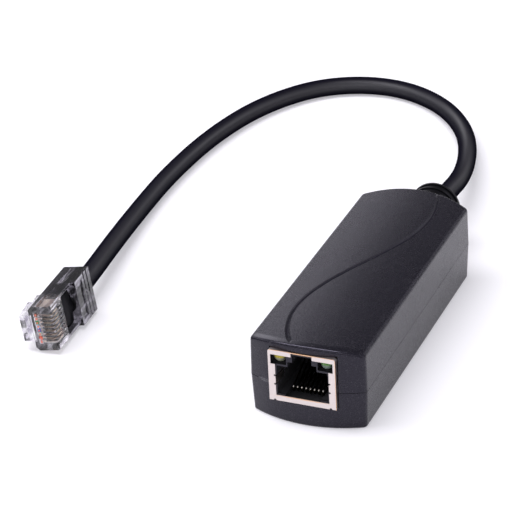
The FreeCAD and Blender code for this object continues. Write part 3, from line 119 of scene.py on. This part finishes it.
def plugMatrix(values):
    yaw, pitch, roll = (math.radians(turn) for turn in values["plugTurns"])
    return (Matrix.Translation(Vector(values["plugPlace"]) * mm)
            @ Matrix.Rotation(yaw, 4, "Z") @ Matrix.Rotation(pitch, 4, "Y")
            @ Matrix.Rotation(roll, 4, "X") @ Matrix.Scale(mm, 4))


# takes an outline of half width and half height 1 to a section
def sectionMatrix(section):
    back, middle, halfWidth, halfHeight = section
    return (Matrix.Translation((middle, back, 0))
            @ Matrix.Diagonal((halfHeight, 1, halfWidth, 1)))


def makeJacketEnd(values):
    mesh = bmesh.new()
    power = 2 / values["squareness"]
    for sections in (values["sections"], values["padSections"]):
        ring = bmesh.ops.create_circle(mesh, cap_ends=True, radius=1,
                                       segments=values["roundSteps"],
                                       matrix=Matrix.Rotation(math.pi / 2, 4, "X"))["verts"]
        for corner in ring:
            rise, side = corner.co.x, corner.co.z
            corner.co = (math.copysign(abs(rise) ** power, rise), 0,
                         math.copysign(abs(side) ** power, side))
        bmesh.ops.transform(mesh, matrix=sectionMatrix(sections[0]), verts=ring)
        rim = list(ring[0].link_faces[0].edges)
        for section, after in zip(sections, sections[1:]):
            grown = bmesh.ops.extrude_edge_only(mesh, edges=rim)["geom"]
            ring = [item for item in grown if isinstance(item, bmesh.types.BMVert)]
            rim = [item for item in grown
                   if isinstance(item, bmesh.types.BMEdge) and item.is_boundary]
            step = sectionMatrix(after) @ sectionMatrix(section).inverted()
            bmesh.ops.transform(mesh, matrix=step, verts=ring)
        bmesh.ops.edgeloop_fill(mesh, edges=rim)
    for face in mesh.faces:
        face.smooth = len(face.verts) == 4
    bmesh.ops.recalc_face_normals(mesh, faces=mesh.faces)
    bmesh.ops.transform(mesh, matrix=plugMatrix(values), verts=mesh.verts)
    return finishPiece("jacketEnd", mesh)


# network lead, with the route's points in mm as control points
lead = {
    "diameter": 5.0,
    "length": 282,
    "exit": (0, 54.1, 9.5),
    "route": [(0.0, 35.0, 9.5), (0.0, 56.5, 9.5), (-0.3, 78.3, 6.6), (-8.9, 107.2, 3.3),
              (-22.8, 125.7, 2.5), (-40.5, 133.2, 2.5), (-58.9, 127.7, 2.5),
              (-70.9, 110.7, 2.5), (-76.8, 88.3, 2.5), (-78.6, 62.8, 2.5),
              (-77.6, 41.3, 2.7), (-75.2, 19.9, 4.0), (-71.6, -3.1, 6.0),
              (-70.7, -16.0, 6.4)],
    "roundSteps": 10,
    "lengthSteps": 14,
}


def makeLead(values, squeezedEnd):
    curve = bpy.data.curves.new("leadJacket", "CURVE")
    curve.dimensions = "3D"
    spline = curve.splines.new("NURBS")
    spline.points.add(len(values["route"]) - 1)
    for point, place in zip(spline.points, values["route"]):
        point.co = (*(Vector(place) * mm), 1)
        point.radius = values["diameter"] / 2 * mm
    spline.order_u = 3
    spline.use_endpoint_u = True
    spline.resolution_u = values["lengthSteps"]
    curve.bevel_depth = 1.0  # times the points' radius, which also sets the curve's bounds
    curve.bevel_resolution = values["roundSteps"]
    curve.use_fill_caps = True
    piece = bpy.data.objects.new("leadJacket", curve)
    bpy.context.scene.collection.objects.link(piece)
    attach(piece, "root")
    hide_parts("network_lead")
    onLead = [squeezedEnd, nodes["plug_body"], nodes["plug_contacts"], nodes["plug_wire_cores"]]
    onLead += [nodes["plug_wire_" + name] for name in wireColours]
    return piece


# two thin ribs round the gland's outer end, in mm
glandRibs = {
    "axisHeight": 9.5,
    "root": 5.8,
    "crest": 6.5,
    "slope": 0.12,
    "spans": [(50.0, 50.9), (52.1, 53.0)],
    "roundSteps": 72,
}


def makeGlandRibs(values):
    mesh = bmesh.new()
    for start, end in values["spans"]:
        profile = [(start, values["root"]), (start + values["slope"], values["crest"]),
                   (end - values["slope"], values["crest"]), (end, values["root"])]
        corners = [mesh.verts.new((0, along, values["axisHeight"] + radius))
                   for along, radius in profile]
        edges = [mesh.edges.new((first, second))
                 for first, second in zip(corners, corners[1:] + corners[:1])]
        bmesh.ops.spin(mesh, geom=corners + edges, cent=(0, 0, values["axisHeight"]),
                       axis=alongY, angle=2 * math.pi, steps=values["roundSteps"],
                       use_merge=True)
    bmesh.ops.recalc_face_normals(mesh, faces=mesh.faces)
    bmesh.ops.scale(mesh, vec=(mm, mm, mm), verts=mesh.verts)
    return finishPiece("glandRibs", mesh)


jacketEndPiece = makeJacketEnd(jacketEnd)
leadJacket = makeLead(lead, jacketEndPiece)
glandRibsPiece = makeGlandRibs(glandRibs)
print("camera, lead and ribs placed")


# shader node helpers: a value is a number or colour to set, or another node's output to link
def feed(tree, socket, value):
    if isinstance(value, bpy.types.NodeSocket):
        tree.links.new(value, socket)
    else:
        socket.default_value = value


def addNode(tree, kind, **settings):
    node = tree.nodes.new(kind)
    for key, value in settings.items():
        if key in node.inputs:
            feed(tree, node.inputs[key], value)
        else:
            setattr(node, key, value)
    return node


def addMath(tree, operation, *values, clamp=False):
    node = addNode(tree, "ShaderNodeMath", operation=operation, use_clamp=clamp)
    for socket, value in zip(node.inputs, values):
        feed(tree, socket, value)
    return node.outputs[0]


def addVectorMath(tree, operation, *values, **settings):
    node = addNode(tree, "ShaderNodeVectorMath", operation=operation, **settings)
    for socket, value in zip(node.inputs, values):
        feed(tree, socket, value)
    return node.outputs["Value" if operation in ("DOT_PRODUCT", "LENGTH") else "Vector"]


# 0 at the first end of a span and 1 at the second, or from one level to another
def addRange(tree, value, span, levels=(0.0, 1.0), smooth=False):
    node = addNode(tree, "ShaderNodeMapRange",
                   interpolation_type="SMOOTHSTEP" if smooth else "LINEAR",
                   **{"Value": value, "From Min": span[0], "From Max": span[1],
                      "To Min": levels[0], "To Max": levels[1]})
    return node.outputs["Result"]


# a Mix node's first and second input and its output, for each kind of value
mixSockets = {"FLOAT": (2, 3, 0), "VECTOR": (4, 5, 1), "RGBA": (6, 7, 2)}


def addMix(tree, kind, share, first, second):
    mix = addNode(tree, "ShaderNodeMix", data_type=kind)
    firstPlace, secondPlace, outPlace = mixSockets[kind]
    feed(tree, mix.inputs[0], share)
    feed(tree, mix.inputs[firstPlace], first)
    feed(tree, mix.inputs[secondPlace], second)
    return mix.outputs[outPlace]


def addPlace(tree):
    return addNode(tree, "ShaderNodeTexCoord").outputs["Object"]


def newGroup(name, inputs, outputs):
    group = bpy.data.node_groups.new(name, "ShaderNodeTree")
    for label, kind, value in inputs:
        socket = group.interface.new_socket(label, in_out="INPUT", socket_type=kind)
        socket.default_value = value
    for label, kind in outputs:
        group.interface.new_socket(label, in_out="OUTPUT", socket_type=kind)
    into = group.nodes.new("NodeGroupInput").outputs
    out = group.nodes.new("NodeGroupOutput").inputs
    return group, into, out


# moulded grain: cloudy colour, cloudy roughness and a fine pitted bump
grain = {  # the same on every material
    "pitDetail": 2.0,
    "pitRoughness": 0.6,
    "cloudDetail": 3.0,
    "bumpDistance": 0.2 * mm,
}


def makeGrainGroup(values):
    group, into, out = newGroup(
        "mouldedGrain",
        [("Colour", "NodeSocketColor", (0.5, 0.5, 0.5, 1)),
         ("Variation", "NodeSocketFloat", 0.1),
         ("Roughness", "NodeSocketFloat", 0.5),
         ("Pit Scale", "NodeSocketFloat", 5000),
         ("Pit Depth", "NodeSocketFloat", 0.3),
         ("Cloud Scale", "NodeSocketFloat", 60)],
        [("Colour", "NodeSocketColor"), ("Roughness", "NodeSocketFloat"),
         ("Normal", "NodeSocketVector")])
    place = addPlace(group)
    pits = addNode(group, "ShaderNodeTexNoise", Vector=place, Scale=into["Pit Scale"],
                   Detail=values["pitDetail"], Roughness=values["pitRoughness"]).outputs["Fac"]
    clouds = addNode(group, "ShaderNodeTexNoise", Vector=place, Scale=into["Cloud Scale"],
                     Detail=values["cloudDetail"]).outputs["Fac"]
    swing = addMath(group, "SUBTRACT", addMath(group, "ADD", pits, clouds), 1.0)
    share = addMath(group, "MULTIPLY_ADD", swing, into["Variation"], 1.0)
    feed(group, out["Colour"], addVectorMath(group, "SCALE", into["Colour"], Scale=share))
    feed(group, out["Roughness"], addMath(group, "MULTIPLY", into["Roughness"], share))
    bump = addNode(group, "ShaderNodeBump", Distance=values["bumpDistance"],
                   Strength=into["Pit Depth"], Height=pits)
    feed(group, out["Normal"], bump.outputs[0])
    return group


# 0 before a distance along an axis and 1 after it, with a soft step between
def makeBandGroup():
    group, into, out = newGroup(
        "axisBand",
        [("Axis", "NodeSocketVector", alongY), ("Start", "NodeSocketFloat", 0.0),
         ("End", "NodeSocketFloat", mm)],
        [("Share", "NodeSocketFloat")])
    along = addVectorMath(group, "DOT_PRODUCT", addPlace(group), into["Axis"])
    feed(group, out["Share"], addRange(group, along, (into["Start"], into["End"]), smooth=True))
    return group


# share of a patch round a place with a ragged rim; it lays scratched wear, copper cut edges,
# painted glint specks and painted shade in notches
patch = {
    "wearAndPaintedLightScale": 4200,
    "detail": 2.0,
    "distortion": 1.5,
    "rim": (1.0, 0.5),  # fades in from the patch's reach to half of it
    "edges": (0.98, 1.06),  # of a patch's ragged rim: its noise plus the share covered
}


def makePatchGroup(values):
    group, into, out = newGroup(
        "patch",
        [("Middle", "NodeSocketVector", (0, 0, 0)), ("Reach", "NodeSocketVector", (1, 1, 1)),
         ("Cover", "NodeSocketFloat", 0.5)],
        [("Share", "NodeSocketFloat")])
    place = addPlace(group)
    away = addVectorMath(group, "SUBTRACT", place, into["Middle"])
    distance = addVectorMath(group, "LENGTH", addVectorMath(group, "DIVIDE", away, into["Reach"]))
    inside = addRange(group, distance, values["rim"])
    wearAndPaintedLightNoise = addNode(group, "ShaderNodeTexNoise", Vector=place, Scale=values["wearAndPaintedLightScale"],
                        Detail=values["detail"], Distortion=values["distortion"])
    covered = addMath(group, "ADD", wearAndPaintedLightNoise.outputs["Fac"], into["Cover"])
    feed(group, out["Share"],
         addMath(group, "MULTIPLY", inside, addRange(group, covered, values["edges"])))
    return group


# shades the top's edge round the curved front as one smooth round, and the S-shaped groove
# matt, in mm
frontEdge = {
    "middle": (0, -10.65),  # of the front face's curve
    "radius": 29.5,
    "height": 20.7,
    "crown": 0.0094,  # fall of the arched top, per mm squared from the middle
    "reach": 2.3,  # from the edge to where the round starts
    "fullReach": 0.7,  # share of the reach where the round is complete
    "round": 1.2,
    "sideStart": 12.4,  # fades out from here to the corner edges
    "sideEnd": 13.4,
    "polish": 0.12,  # taken off the roughness
    "grooveBox": (9.5, 36.0),  # half width and half length that hold the groove
    "grooveDepths": (0.2, 0.36),  # matt from the first to the second
    "grooveRough": 0.7,  # added to the roughness
}


def makeEdgeGroup(values):
    group, into, out = newGroup(
        "roundedFrontEdge",
        [("Normal", "NodeSocketVector", alongZ), ("Roughness", "NodeSocketFloat", 0.3)],
        [("Normal", "NodeSocketVector"), ("Roughness", "NodeSocketFloat")])

    def compute(operation, *numbers):
        return addMath(group, operation, *numbers)

    inMm = addVectorMath(group, "SCALE", addPlace(group), Scale=1 / mm)
    across, along, up = addNode(group, "ShaderNodeSeparateXYZ", Vector=inMm).outputs
    besideMiddle = compute("ABSOLUTE", across)
    outwards = addNode(group, "ShaderNodeCombineXYZ",
                       X=compute("SUBTRACT", across, values["middle"][0]),
                       Y=compute("SUBTRACT", along, values["middle"][1])).outputs[0]
    ahead = compute("SUBTRACT", addVectorMath(group, "LENGTH", outwards), values["radius"])
    fall = compute("MULTIPLY", compute("POWER", across, 2.0), values["crown"])
    above = compute("SUBTRACT", compute("ADD", up, fall), values["height"])

    # where the round lies: near the edge, between the sides and in the front half
    near = addRange(group, compute("ADD", ahead, above),
                    (-values["reach"], -values["fullReach"] * values["reach"]), smooth=True)
    beside = addRange(group, besideMiddle, (values["sideEnd"], values["sideStart"]), smooth=True)
    inFront = compute("LESS_THAN", along, values["middle"][1])
    share = compute("MULTIPLY", compute("MULTIPLY", near, beside), inFront)

    # the normal turns from the top's to the front's
    turned = addRange(group, compute("SUBTRACT", ahead, above),
                      (-values["round"], values["round"]), smooth=True)
    topNormal = addNode(group, "ShaderNodeCombineXYZ", Z=1.0,
                        X=compute("MULTIPLY", across, 2 * values["crown"])).outputs[0]
    frontNormal = addVectorMath(group, "NORMALIZE", outwards)
    rounded = addMix(group, "VECTOR", turned, topNormal, frontNormal)
    shown = addMix(group, "VECTOR", share, into["Normal"], rounded)
    feed(group, out["Normal"], addVectorMath(group, "NORMALIZE", shown))

    # the round is polished and the groove is matt
    firstDepth, secondDepth = values["grooveDepths"]
    halfWidth, halfLength = values["grooveBox"]
    deep = addRange(group, above, (-firstDepth, -secondDepth))
    inBox = compute("MULTIPLY", compute("LESS_THAN", besideMiddle, halfWidth),
                    compute("LESS_THAN", compute("ABSOLUTE", along), halfLength))
    grooved = compute("MULTIPLY", compute("MULTIPLY", deep, inBox), values["grooveRough"])
    polished = compute("SUBTRACT", into["Roughness"],
                       compute("MULTIPLY", share, values["polish"]))
    feed(group, out["Roughness"], compute("ADD", polished, grooved))
    return group


grainGroup = makeGrainGroup(grain)
bandGroup = makeBandGroup()
patchGroup = makePatchGroup(patch)
edgeGroup = makeEdgeGroup(frontEdge)


# share of a band in a material's tree, with its start and end in mm
def addBand(tree, axis, start, end):
    band = addNode(tree, "ShaderNodeGroup", node_tree=bandGroup, Axis=axis, Start=start * mm,
                   End=end * mm)
    return band.outputs["Share"]


# a colour that turns into others, each past its own band: axis, start, end, colour
def bandedColour(tree, colour, bands):
    for axis, start, end, second in bands:
        colour = addMix(tree, "RGBA", addBand(tree, axis, start, end), colour, (*second, 1))
    return colour


# lays patches over a colour: middle and reach in mm, share covered, colour
def patchedColour(tree, colour, patches):
    for middle, reach, cover, second in patches:
        spot = addNode(tree, "ShaderNodeGroup", node_tree=patchGroup,
                       Middle=Vector(middle) * mm, Reach=Vector(reach) * mm, Cover=cover)
        colour = addMix(tree, "RGBA", spot.outputs["Share"], colour, (*second, 1))
    return colour


def newMaterial(name, **sockets):
    material = bpy.data.materials.new(name)
    material.use_nodes = True
    shader = material.node_tree.nodes["Principled BSDF"]
    for label, value in sockets.items():
        shader.inputs[label].default_value = value
    return material, material.node_tree, shader


def plainColour(tree, colour):
    source = addNode(tree, "ShaderNodeRGB")
    source.outputs[0].default_value = (*colour, 1)
    return source.outputs[0]


def dress(material, names):
    for name in names:
        data = nodes[name].data
        data.materials.clear()
        data.materials.append(material)


# what a finish has unless it says otherwise; its sockets are set on the shader itself
plainFinish = {
    "variation": 0.12,
    "pitScale": 5000,
    "pitDepth": 0.25,
    "cloudScale": 60,
    "bands": [],
    "patches": [],
    "sockets": {},
    "on": [],
}


# a grained plastic, rubber, metal or lacquer
def makeFinish(name, values):
    values = {**plainFinish, **values}
    material, tree, shader = newMaterial(name, **values["sockets"])
    colour = bandedColour(tree, plainColour(tree, values["colour"]), values["bands"])
    surface = addNode(tree, "ShaderNodeGroup", node_tree=grainGroup, **{
        "Colour": patchedColour(tree, colour, values["patches"]),
        "Variation": values["variation"], "Roughness": values["roughness"],
        "Pit Scale": values["pitScale"], "Pit Depth": values["pitDepth"],
        "Cloud Scale": values["cloudScale"]})
    feed(tree, shader.inputs["Base Color"], surface.outputs["Colour"])
    feed(tree, shader.inputs["Roughness"], surface.outputs["Roughness"])
    feed(tree, shader.inputs["Normal"], surface.outputs["Normal"])
    dress(material, values["on"])
    return material


# puts the front edge's round and the matt groove between the grain and the shader
def roundFrontEdge(material):
    tree = material.node_tree
    shader = tree.nodes["Principled BSDF"]
    edge = addNode(tree, "ShaderNodeGroup", node_tree=edgeGroup)
    for label in ("Normal", "Roughness"):
        feed(tree, edge.inputs[label], shader.inputs[label].links[0].from_socket)
        feed(tree, shader.inputs[label], edge.outputs[label])


# satin gloss along the middle of a round lead, fading to its rims: how far the surface faces
# the viewer, against how far it can on a lead that runs partly towards the viewer
satin = {
    "strength": 1.0,
    "narrowness": 9.0,
}


def satinGloss(material, values):
    tree = material.node_tree
    along = addNode(tree, "ShaderNodeTangent", direction_type="UV_MAP").outputs[0]
    endOn = addNode(tree, "ShaderNodeLayerWeight", Blend=0.5, Normal=along)
    faceOn = addNode(tree, "ShaderNodeLayerWeight", Blend=0.5)
    endShare = addMath(tree, "SUBTRACT", 1.0, endOn.outputs["Facing"])
    most = addMath(tree, "SQRT",
                   addMath(tree, "SUBTRACT", 1.0, addMath(tree, "POWER", endShare, 2.0)))
    facing = addMath(tree, "SUBTRACT", 1.0, faceOn.outputs["Facing"])
    share = addMath(tree, "DIVIDE", facing, most, clamp=True)
    bell = addMath(tree, "POWER", share, values["narrowness"])
    feed(tree, tree.nodes["Principled BSDF"].inputs["Coat Weight"],
         addMath(tree, "MULTIPLY", bell, values["strength"], clamp=True))


# finishes of the housing, the gland, the lead and the socket, with the nodes they go on
violetGloss = (0.84, 0.8, 1.0, 1)
cutEdge = (0.72, 0.46, 0.28)
paintedNotchShade = (0.005, 0.005, 0.005)
# painted shade: the contacts' dark gold where light doesn't reach
paintedShadeGold = (0.03, 0.025, 0.015)
topEdge, rightEdge = (0, -1, 1), (1, -1, 0)  # directions over the shield's cut edges
notches = [(-6.45, 12.22), (-6.45, 9.97), (6.45, 12.22), (6.45, 9.97), (-6.67, 5.85),
           (6.67, 5.85)]
finishes = {
    "housingPlastic": {
        "on": ["upper_shell", "lower_shell"],
        "colour": (0.008, 0.0075, 0.0115), "roughness": 0.27, "variation": 0.3,
        "pitScale": 3200, "pitDepth": 0.4,
        # painted glints as light specks all over the grain, a scuff on the front's seam and a
        # dark speck on the top
        "patches": [
            # painted glints: light specks over the whole housing
            ((0.0, 0.0, 18.0), (60.0, 160.0, 40.0), 0.39, (0.055, 0.053, 0.06)),
            ((-9.9, -39.0, 9.5), (2.2, 2.5, 0.55), 0.56, (0.14, 0.14, 0.15)),
            ((-6.2, 15.9, 20.3), (0.35, 0.3, 0.8), 0.9, (0.001, 0.001, 0.001))],
        "sockets": {"Specular IOR Level": 0.38, "Specular Tint": violetGloss},
    },
    "glandRubber": {
        "on": ["cable_gland"],
        "colour": (0.005, 0.005, 0.006), "roughness": 0.34,
        "sockets": {"Specular IOR Level": 0.15, "Specular Tint": violetGloss},
    },
    "jacketPlastic": {
        "colour": (0.007, 0.0065, 0.0115), "roughness": 0.36, "pitDepth": 0.1,
        "sockets": {"Specular IOR Level": 0.0, "Coat Roughness": 0.45, "Coat IOR": 1.65},
    },
    "brightPlate": {  # tinned, with copper-coloured cut edges and painted shade in its notches
        "on": ["jack_shield"],
        "colour": (0.68, 0.61, 0.59), "roughness": 0.3, "variation": 0.08,
        "pitScale": 2500, "pitDepth": 0.06,
        "bands": [(topEdge, 58.97, 59.0, cutEdge), (rightEdge, 48.23, 48.26, cutEdge)],
        "patches": [((-6.2, -40.35, 10.0), (0.16, 0.4, 3.6), 0.9, cutEdge),
                    ((0.0, -40.35, 7.02), (8.0, 0.4, 0.14), 0.9, cutEdge),
                    ((0.0, -40.35, 18.65), (3.6, 0.4, 0.6), 0.9, cutEdge)]
                   # painted shade: the notches painted near black
                   + [((across, -40.3, up), (0.4, 0.5, 0.3), 0.9, paintedNotchShade)
                      for across, up in notches],
        "sockets": {"Metallic": 1.0},
    },
    "socketPlastic": {  # painted light: lighter behind its mouth, inside the shaded socket
        "on": ["socket_moulding", "transformer_bobbin"],
        "colour": (0.01, 0.01, 0.011), "roughness": 0.4,
        # painted light: the inside behind the mouth painted four times lighter
        "bands": [(alongY, -39.8, -39.2, (0.04, 0.04, 0.042))],
        "sockets": {"Specular Tint": violetGloss},
    },
    "socketGold": {  # painted shade all over, with a painted highlight only at the contacts' front ends
        "on": ["socket_contacts"],
        "colour": paintedShadeGold, "roughness": 0.3, "variation": 0.08,
        # painted highlight on the tops of the contacts' front bends, painted shade again behind
        # them
        "bands": [(alongZ, 7.84, 7.88, (0.8, 0.76, 0.68)),
                  (alongY, -36.8, -36.7, paintedShadeGold)],
        "sockets": {"Metallic": 1.0},
    },
    "yellowLens": {  # both lamps are grey below and coloured above
        "on": ["yellow_lamp"],
        "colour": (0.22, 0.23, 0.16), "roughness": 0.2, "variation": 0.05,
        "bands": [(alongZ, 16.4, 16.9, (0.55, 0.46, 0.03))],
    },
    "greenLens": {
        "on": ["green_lamp"],
        "colour": (0.15, 0.20, 0.17), "roughness": 0.2, "variation": 0.05,
        "bands": [(alongZ, 16.4, 16.9, (0.10, 0.26, 0.05))],
    },
    "tinnedWire": {
        "on": ["lamp_leads"],
        "colour": (0.75, 0.75, 0.76), "roughness": 0.3, "sockets": {"Metallic": 1.0},
    },
}
materials = {name: makeFinish(name, values) for name, values in finishes.items()}
roundFrontEdge(materials["housingPlastic"])
satinGloss(materials["jacketPlastic"], satin)
leadJacket.data.materials.append(materials["jacketPlastic"])
jacketEndPiece.data.materials.append(materials["glandRubber"])
glandRibsPiece.data.materials.append(materials["glandRubber"])
print("housing, lead and socket dressed")


# the board and the parts on it
boardFinishes = {
    "boardLaminate": {"on": ["circuit_board"],
                      "colour": (0.03, 0.16, 0.06), "roughness": 0.35},
    "chipPart": {"on": ["chip_parts"], "colour": (0.3, 0.22, 0.14), "roughness": 0.5},
    "chipPlastic": {"on": ["network_transformer", "input_bridge", "spare_bridge",
                           "control_chip", "power_switch", "surge_suppressor",
                           "output_diode", "feedback_coupler"],
                    "colour": (0.02, 0.02, 0.022), "roughness": 0.5},
    "ferrite": {"on": ["transformer_core", "inductor_core"],
                "colour": (0.05, 0.05, 0.055), "roughness": 0.7},
    "windingTape": {"on": ["transformer_winding"],
                    "colour": (0.8, 0.6, 0.06), "roughness": 0.3},
    "copperCoil": {"on": ["inductor_winding"],
                   "colour": (0.55, 0.2, 0.06), "roughness": 0.25},
    "blueCoating": {"on": ["safety_capacitor"],
                    "colour": (0.04, 0.16, 0.5), "roughness": 0.35},
    "canSleeve": {"on": ["input_capacitor", "output_capacitor"],
                  "colour": (0.03, 0.03, 0.06), "roughness": 0.3},
}
for name, values in boardFinishes.items():
    makeFinish(name, values)
print("board dressed")


# clear plug: clear where its ribs are, painted smoky dark towards the rear as painted shade,
# streaked, milky latch; spans in mm along the plug's own axes
clearPlug = {
    "ribColour": (0.88, 0.84, 0.88),
    # painted shade: the rear of the clear plug painted smoky dark
    "rearPaintedShade": (0.1, 0.095, 0.11),
    "rearSpan": (5.0, 7.5),  # behind the plug's front
    "milky": (0.76, 0.73, 0.81),
    "latchSpan": (0.05, -0.05),  # above the plug's latch side
    "streakScale": 700.0,
    "streakDetail": 2.0,
    "streakStretch": (1.0, 0.12, 1.0),
    "streakSpan": (0.45, 0.75),
    "streakLevels": (0.75, 2.5),
    "brightest": (0.95, 0.95, 0.95),
    "streakDepth": 0.15 * mm,
    "upperSpan": (5.0, 5.4),  # across the plug, to its upper narrow side
    "lean": 0.13,  # of that side's shading towards the rear
    "sockets": {"Transmission Weight": 0.97, "IOR": 1.5, "Roughness": 0.08,
                "Specular IOR Level": 0.4},
}
plugFinishes = {
    "goldPlate": {
        "on": ["plug_contacts"],
        "colour": (0.95, 0.8, 0.66), "roughness": 0.35, "variation": 0.08,
        "sockets": {"Metallic": 0.5},
    },
    "bareCopper": {
        "on": ["plug_wire_cores"],
        "colour": (0.75, 0.25, 0.2), "roughness": 0.3, "sockets": {"Metallic": 1.0},
    },
}
insulationRough = 0.35
wireStripe = {  # along the white and orange wire, in mm above the latch side
    "colour": (0.6, 0.05, 0.05),
    "start": (1.35, 1.4),
    "end": (1.65, 1.7),
    "skew": 0.088,  # follows the slope of the wire
}


def plugAxes():
    return [column.normalized() for column in plugMatrix(jacketEnd).to_3x3().col]


# a span from the plug's own origin as a band from the part's origin
def plugSpan(axis, span):
    begin = Vector(jacketEnd["plugPlace"]).dot(axis)
    return axis, begin + span[0], begin + span[1]


def makeClearPlastic(values):
    material, tree, shader = newMaterial("clearPlastic", **values["sockets"])
    fromLatch, toRear, acrossPlug = plugAxes()
    colour = bandedColour(tree, plainColour(tree, values["ribColour"]), [
        # painted shade: the plug darkened towards its rear
        (*plugSpan(toRear, values["rearSpan"]), values["rearPaintedShade"]),
        (*plugSpan(fromLatch, values["latchSpan"]), values["milky"])])
    stretched = addNode(tree, "ShaderNodeMapping", Vector=addPlace(tree),
                        Scale=values["streakStretch"])
    streaks = addNode(tree, "ShaderNodeTexNoise", Vector=stretched.outputs[0],
                      Scale=values["streakScale"], Detail=values["streakDetail"]).outputs["Fac"]
    light = addRange(tree, streaks, values["streakSpan"], values["streakLevels"])
    streaked = addVectorMath(tree, "SCALE", colour, Scale=light)
    feed(tree, shader.inputs["Base Color"],
         addVectorMath(tree, "MINIMUM", streaked, values["brightest"]))

    # shallow streaks towards the rear; the upper narrow side leans a little that way
    inRear = addBand(tree, *plugSpan(toRear, values["rearSpan"]))
    drawn = addNode(tree, "ShaderNodeBump", Distance=values["streakDepth"],
                    Height=addMath(tree, "MULTIPLY", streaks, inRear)).outputs[0]
    leaning = addVectorMath(tree, "NORMALIZE",
                            addVectorMath(tree, "ADD", drawn, toRear * values["lean"]))
    onUpper = addBand(tree, *plugSpan(acrossPlug, values["upperSpan"]))
    feed(tree, shader.inputs["Normal"], addMix(tree, "VECTOR", onUpper, drawn, leaning))
    return material


def dressWires(stripe):
    fromLatch, toRear, acrossPlug = plugAxes()
    sloped = fromLatch - stripe["skew"] * toRear
    striped = [(*plugSpan(sloped, stripe["start"]), stripe["colour"]),
               (*plugSpan(sloped, stripe["end"]), wireColours["white_orange"])]
    for name, colour in wireColours.items():
        makeFinish("insulation_" + name, {
            "on": ["plug_wire_" + name, "board_wire_" + name],
            "colour": colour, "roughness": insulationRough,
            "bands": striped if name == "white_orange" else []})


dress(makeClearPlastic(clearPlug), ["plug_body"])
for name, values in plugFinishes.items():
    makeFinish(name, values)
dressWires(wireStripe)
print("plug and wires dressed")


# floor, lights and the white surroundings
studio = {
    "floorSize": 3.0,
    "floorDrop": 0.03 * mm,  # keeps it clear of the housing's base
    "floorWhite": (0.66, 0.66, 0.66),
    "floorRough": 0.9,
    "floorGlow": 0.37,
    "lightColour": (0.955, 0.94, 1.0),
    # height, level
    "skyLevels": [(0.0, 0.12), (0.29, 0.2), (0.41, 1.25), (0.58, 1.2), (0.7, 0.3)],
    # direction, cosines where the patch fades in and is full, level
    "skyPatches": [((-0.48, 0.73, 0.49), (0.94, 0.99), 2.05),
                   ((-0.05, 0.8, 0.6), (0.86, 0.985), 0.1)],
    "lampAim": (-0.02, 0.03, 0.01),  # lamps in metres and watts
    "lamps": [
        {"name": "overheadSoftbox", "place": (-0.27, -0.05, 0.88), "size": (0.45, 0.85),
         "power": 8.4},
        {"name": "frontSoftbox", "place": (0.15, -0.85, 0.45), "size": (0.8, 0.25),
         "power": 0.65},
        {"name": "rearRightSoftbox", "place": (0.35, 0.82, 0.42), "size": (0.4, 0.3),
         "power": 0.2},
    ],
}


# the glow shows the floor white and isn't light on the object
def makeFloor(values):
    mesh = bmesh.new()
    bmesh.ops.create_grid(mesh, x_segments=1, y_segments=1, size=values["floorSize"] / 2,
                          matrix=Matrix.Translation((0, 0, -values["floorDrop"])))
    data = bpy.data.meshes.new("studioFloor")
    mesh.to_mesh(data)
    mesh.free()
    floor = bpy.data.objects.new("studioFloor", data)
    bpy.context.scene.collection.objects.link(floor)
    material, tree, shader = newMaterial(
        "floorWhite", **{"Base Color": (*values["floorWhite"], 1),
                         "Roughness": values["floorRough"], "Specular IOR Level": 0.0,
                         "Emission Color": (*values["lightColour"], 1)})
    path = addNode(tree, "ShaderNodeLightPath").outputs
    shownTo = path["Is Camera Ray"]
    for kind in ("Is Glossy Ray", "Is Transmission Ray"):
        shownTo = addMath(tree, "MAXIMUM", shownTo, path[kind])
    feed(tree, shader.inputs["Emission Strength"],
         addMath(tree, "MULTIPLY", shownTo, values["floorGlow"]))
    data.materials.append(material)


# levels by height in the sky, with one bright and one dark patch that the sides mirror
def makeSky(values):
    world = bpy.data.worlds.new("studioWorld")
    world.use_nodes = True
    bpy.context.scene.world = world
    tree = world.node_tree
    backdrop = tree.nodes["Background"]
    backdrop.inputs["Color"].default_value = (*values["lightColour"], 1)
    direction = addNode(tree, "ShaderNodeTexCoord").outputs["Generated"]
    height = addNode(tree, "ShaderNodeSeparateXYZ", Vector=direction).outputs["Z"]
    sky = addNode(tree, "ShaderNodeValToRGB", Fac=height)
    ramp = sky.color_ramp
    while len(ramp.elements) < len(values["skyLevels"]):
        ramp.elements.new(1.0)
    for element, (place, level) in zip(ramp.elements, values["skyLevels"]):
        element.position = place
        element.color = (level, level, level, 1)
    shown = sky.outputs["Color"]
    for middle, span, level in values["skyPatches"]:
        towards = addVectorMath(tree, "DOT_PRODUCT", direction, Vector(middle).normalized())
        shown = addMix(tree, "FLOAT", addRange(tree, towards, span, smooth=True), shown, level)
    feed(tree, backdrop.inputs["Strength"], shown)


def placeLamps(values):
    for lamp in values["lamps"]:
        light = bpy.data.lights.new(lamp["name"], "AREA")
        light.shape = "RECTANGLE"
        light.size, light.size_y = lamp["size"]
        light.energy = lamp["power"]
        light.color = values["lightColour"]
        item = bpy.data.objects.new(lamp["name"], light)
        item.location = lamp["place"]
        aim = Vector(values["lampAim"]) - Vector(lamp["place"])
        item.rotation_euler = aim.to_track_quat("-Z", "Y").to_euler()
        item.visible_camera = item.visible_transmission = False
        bpy.context.scene.collection.objects.link(item)


makeFloor(studio)
makeSky(studio)
placeLamps(studio)
bpy.context.scene.view_settings.view_transform = "Standard"
print("studio lit")
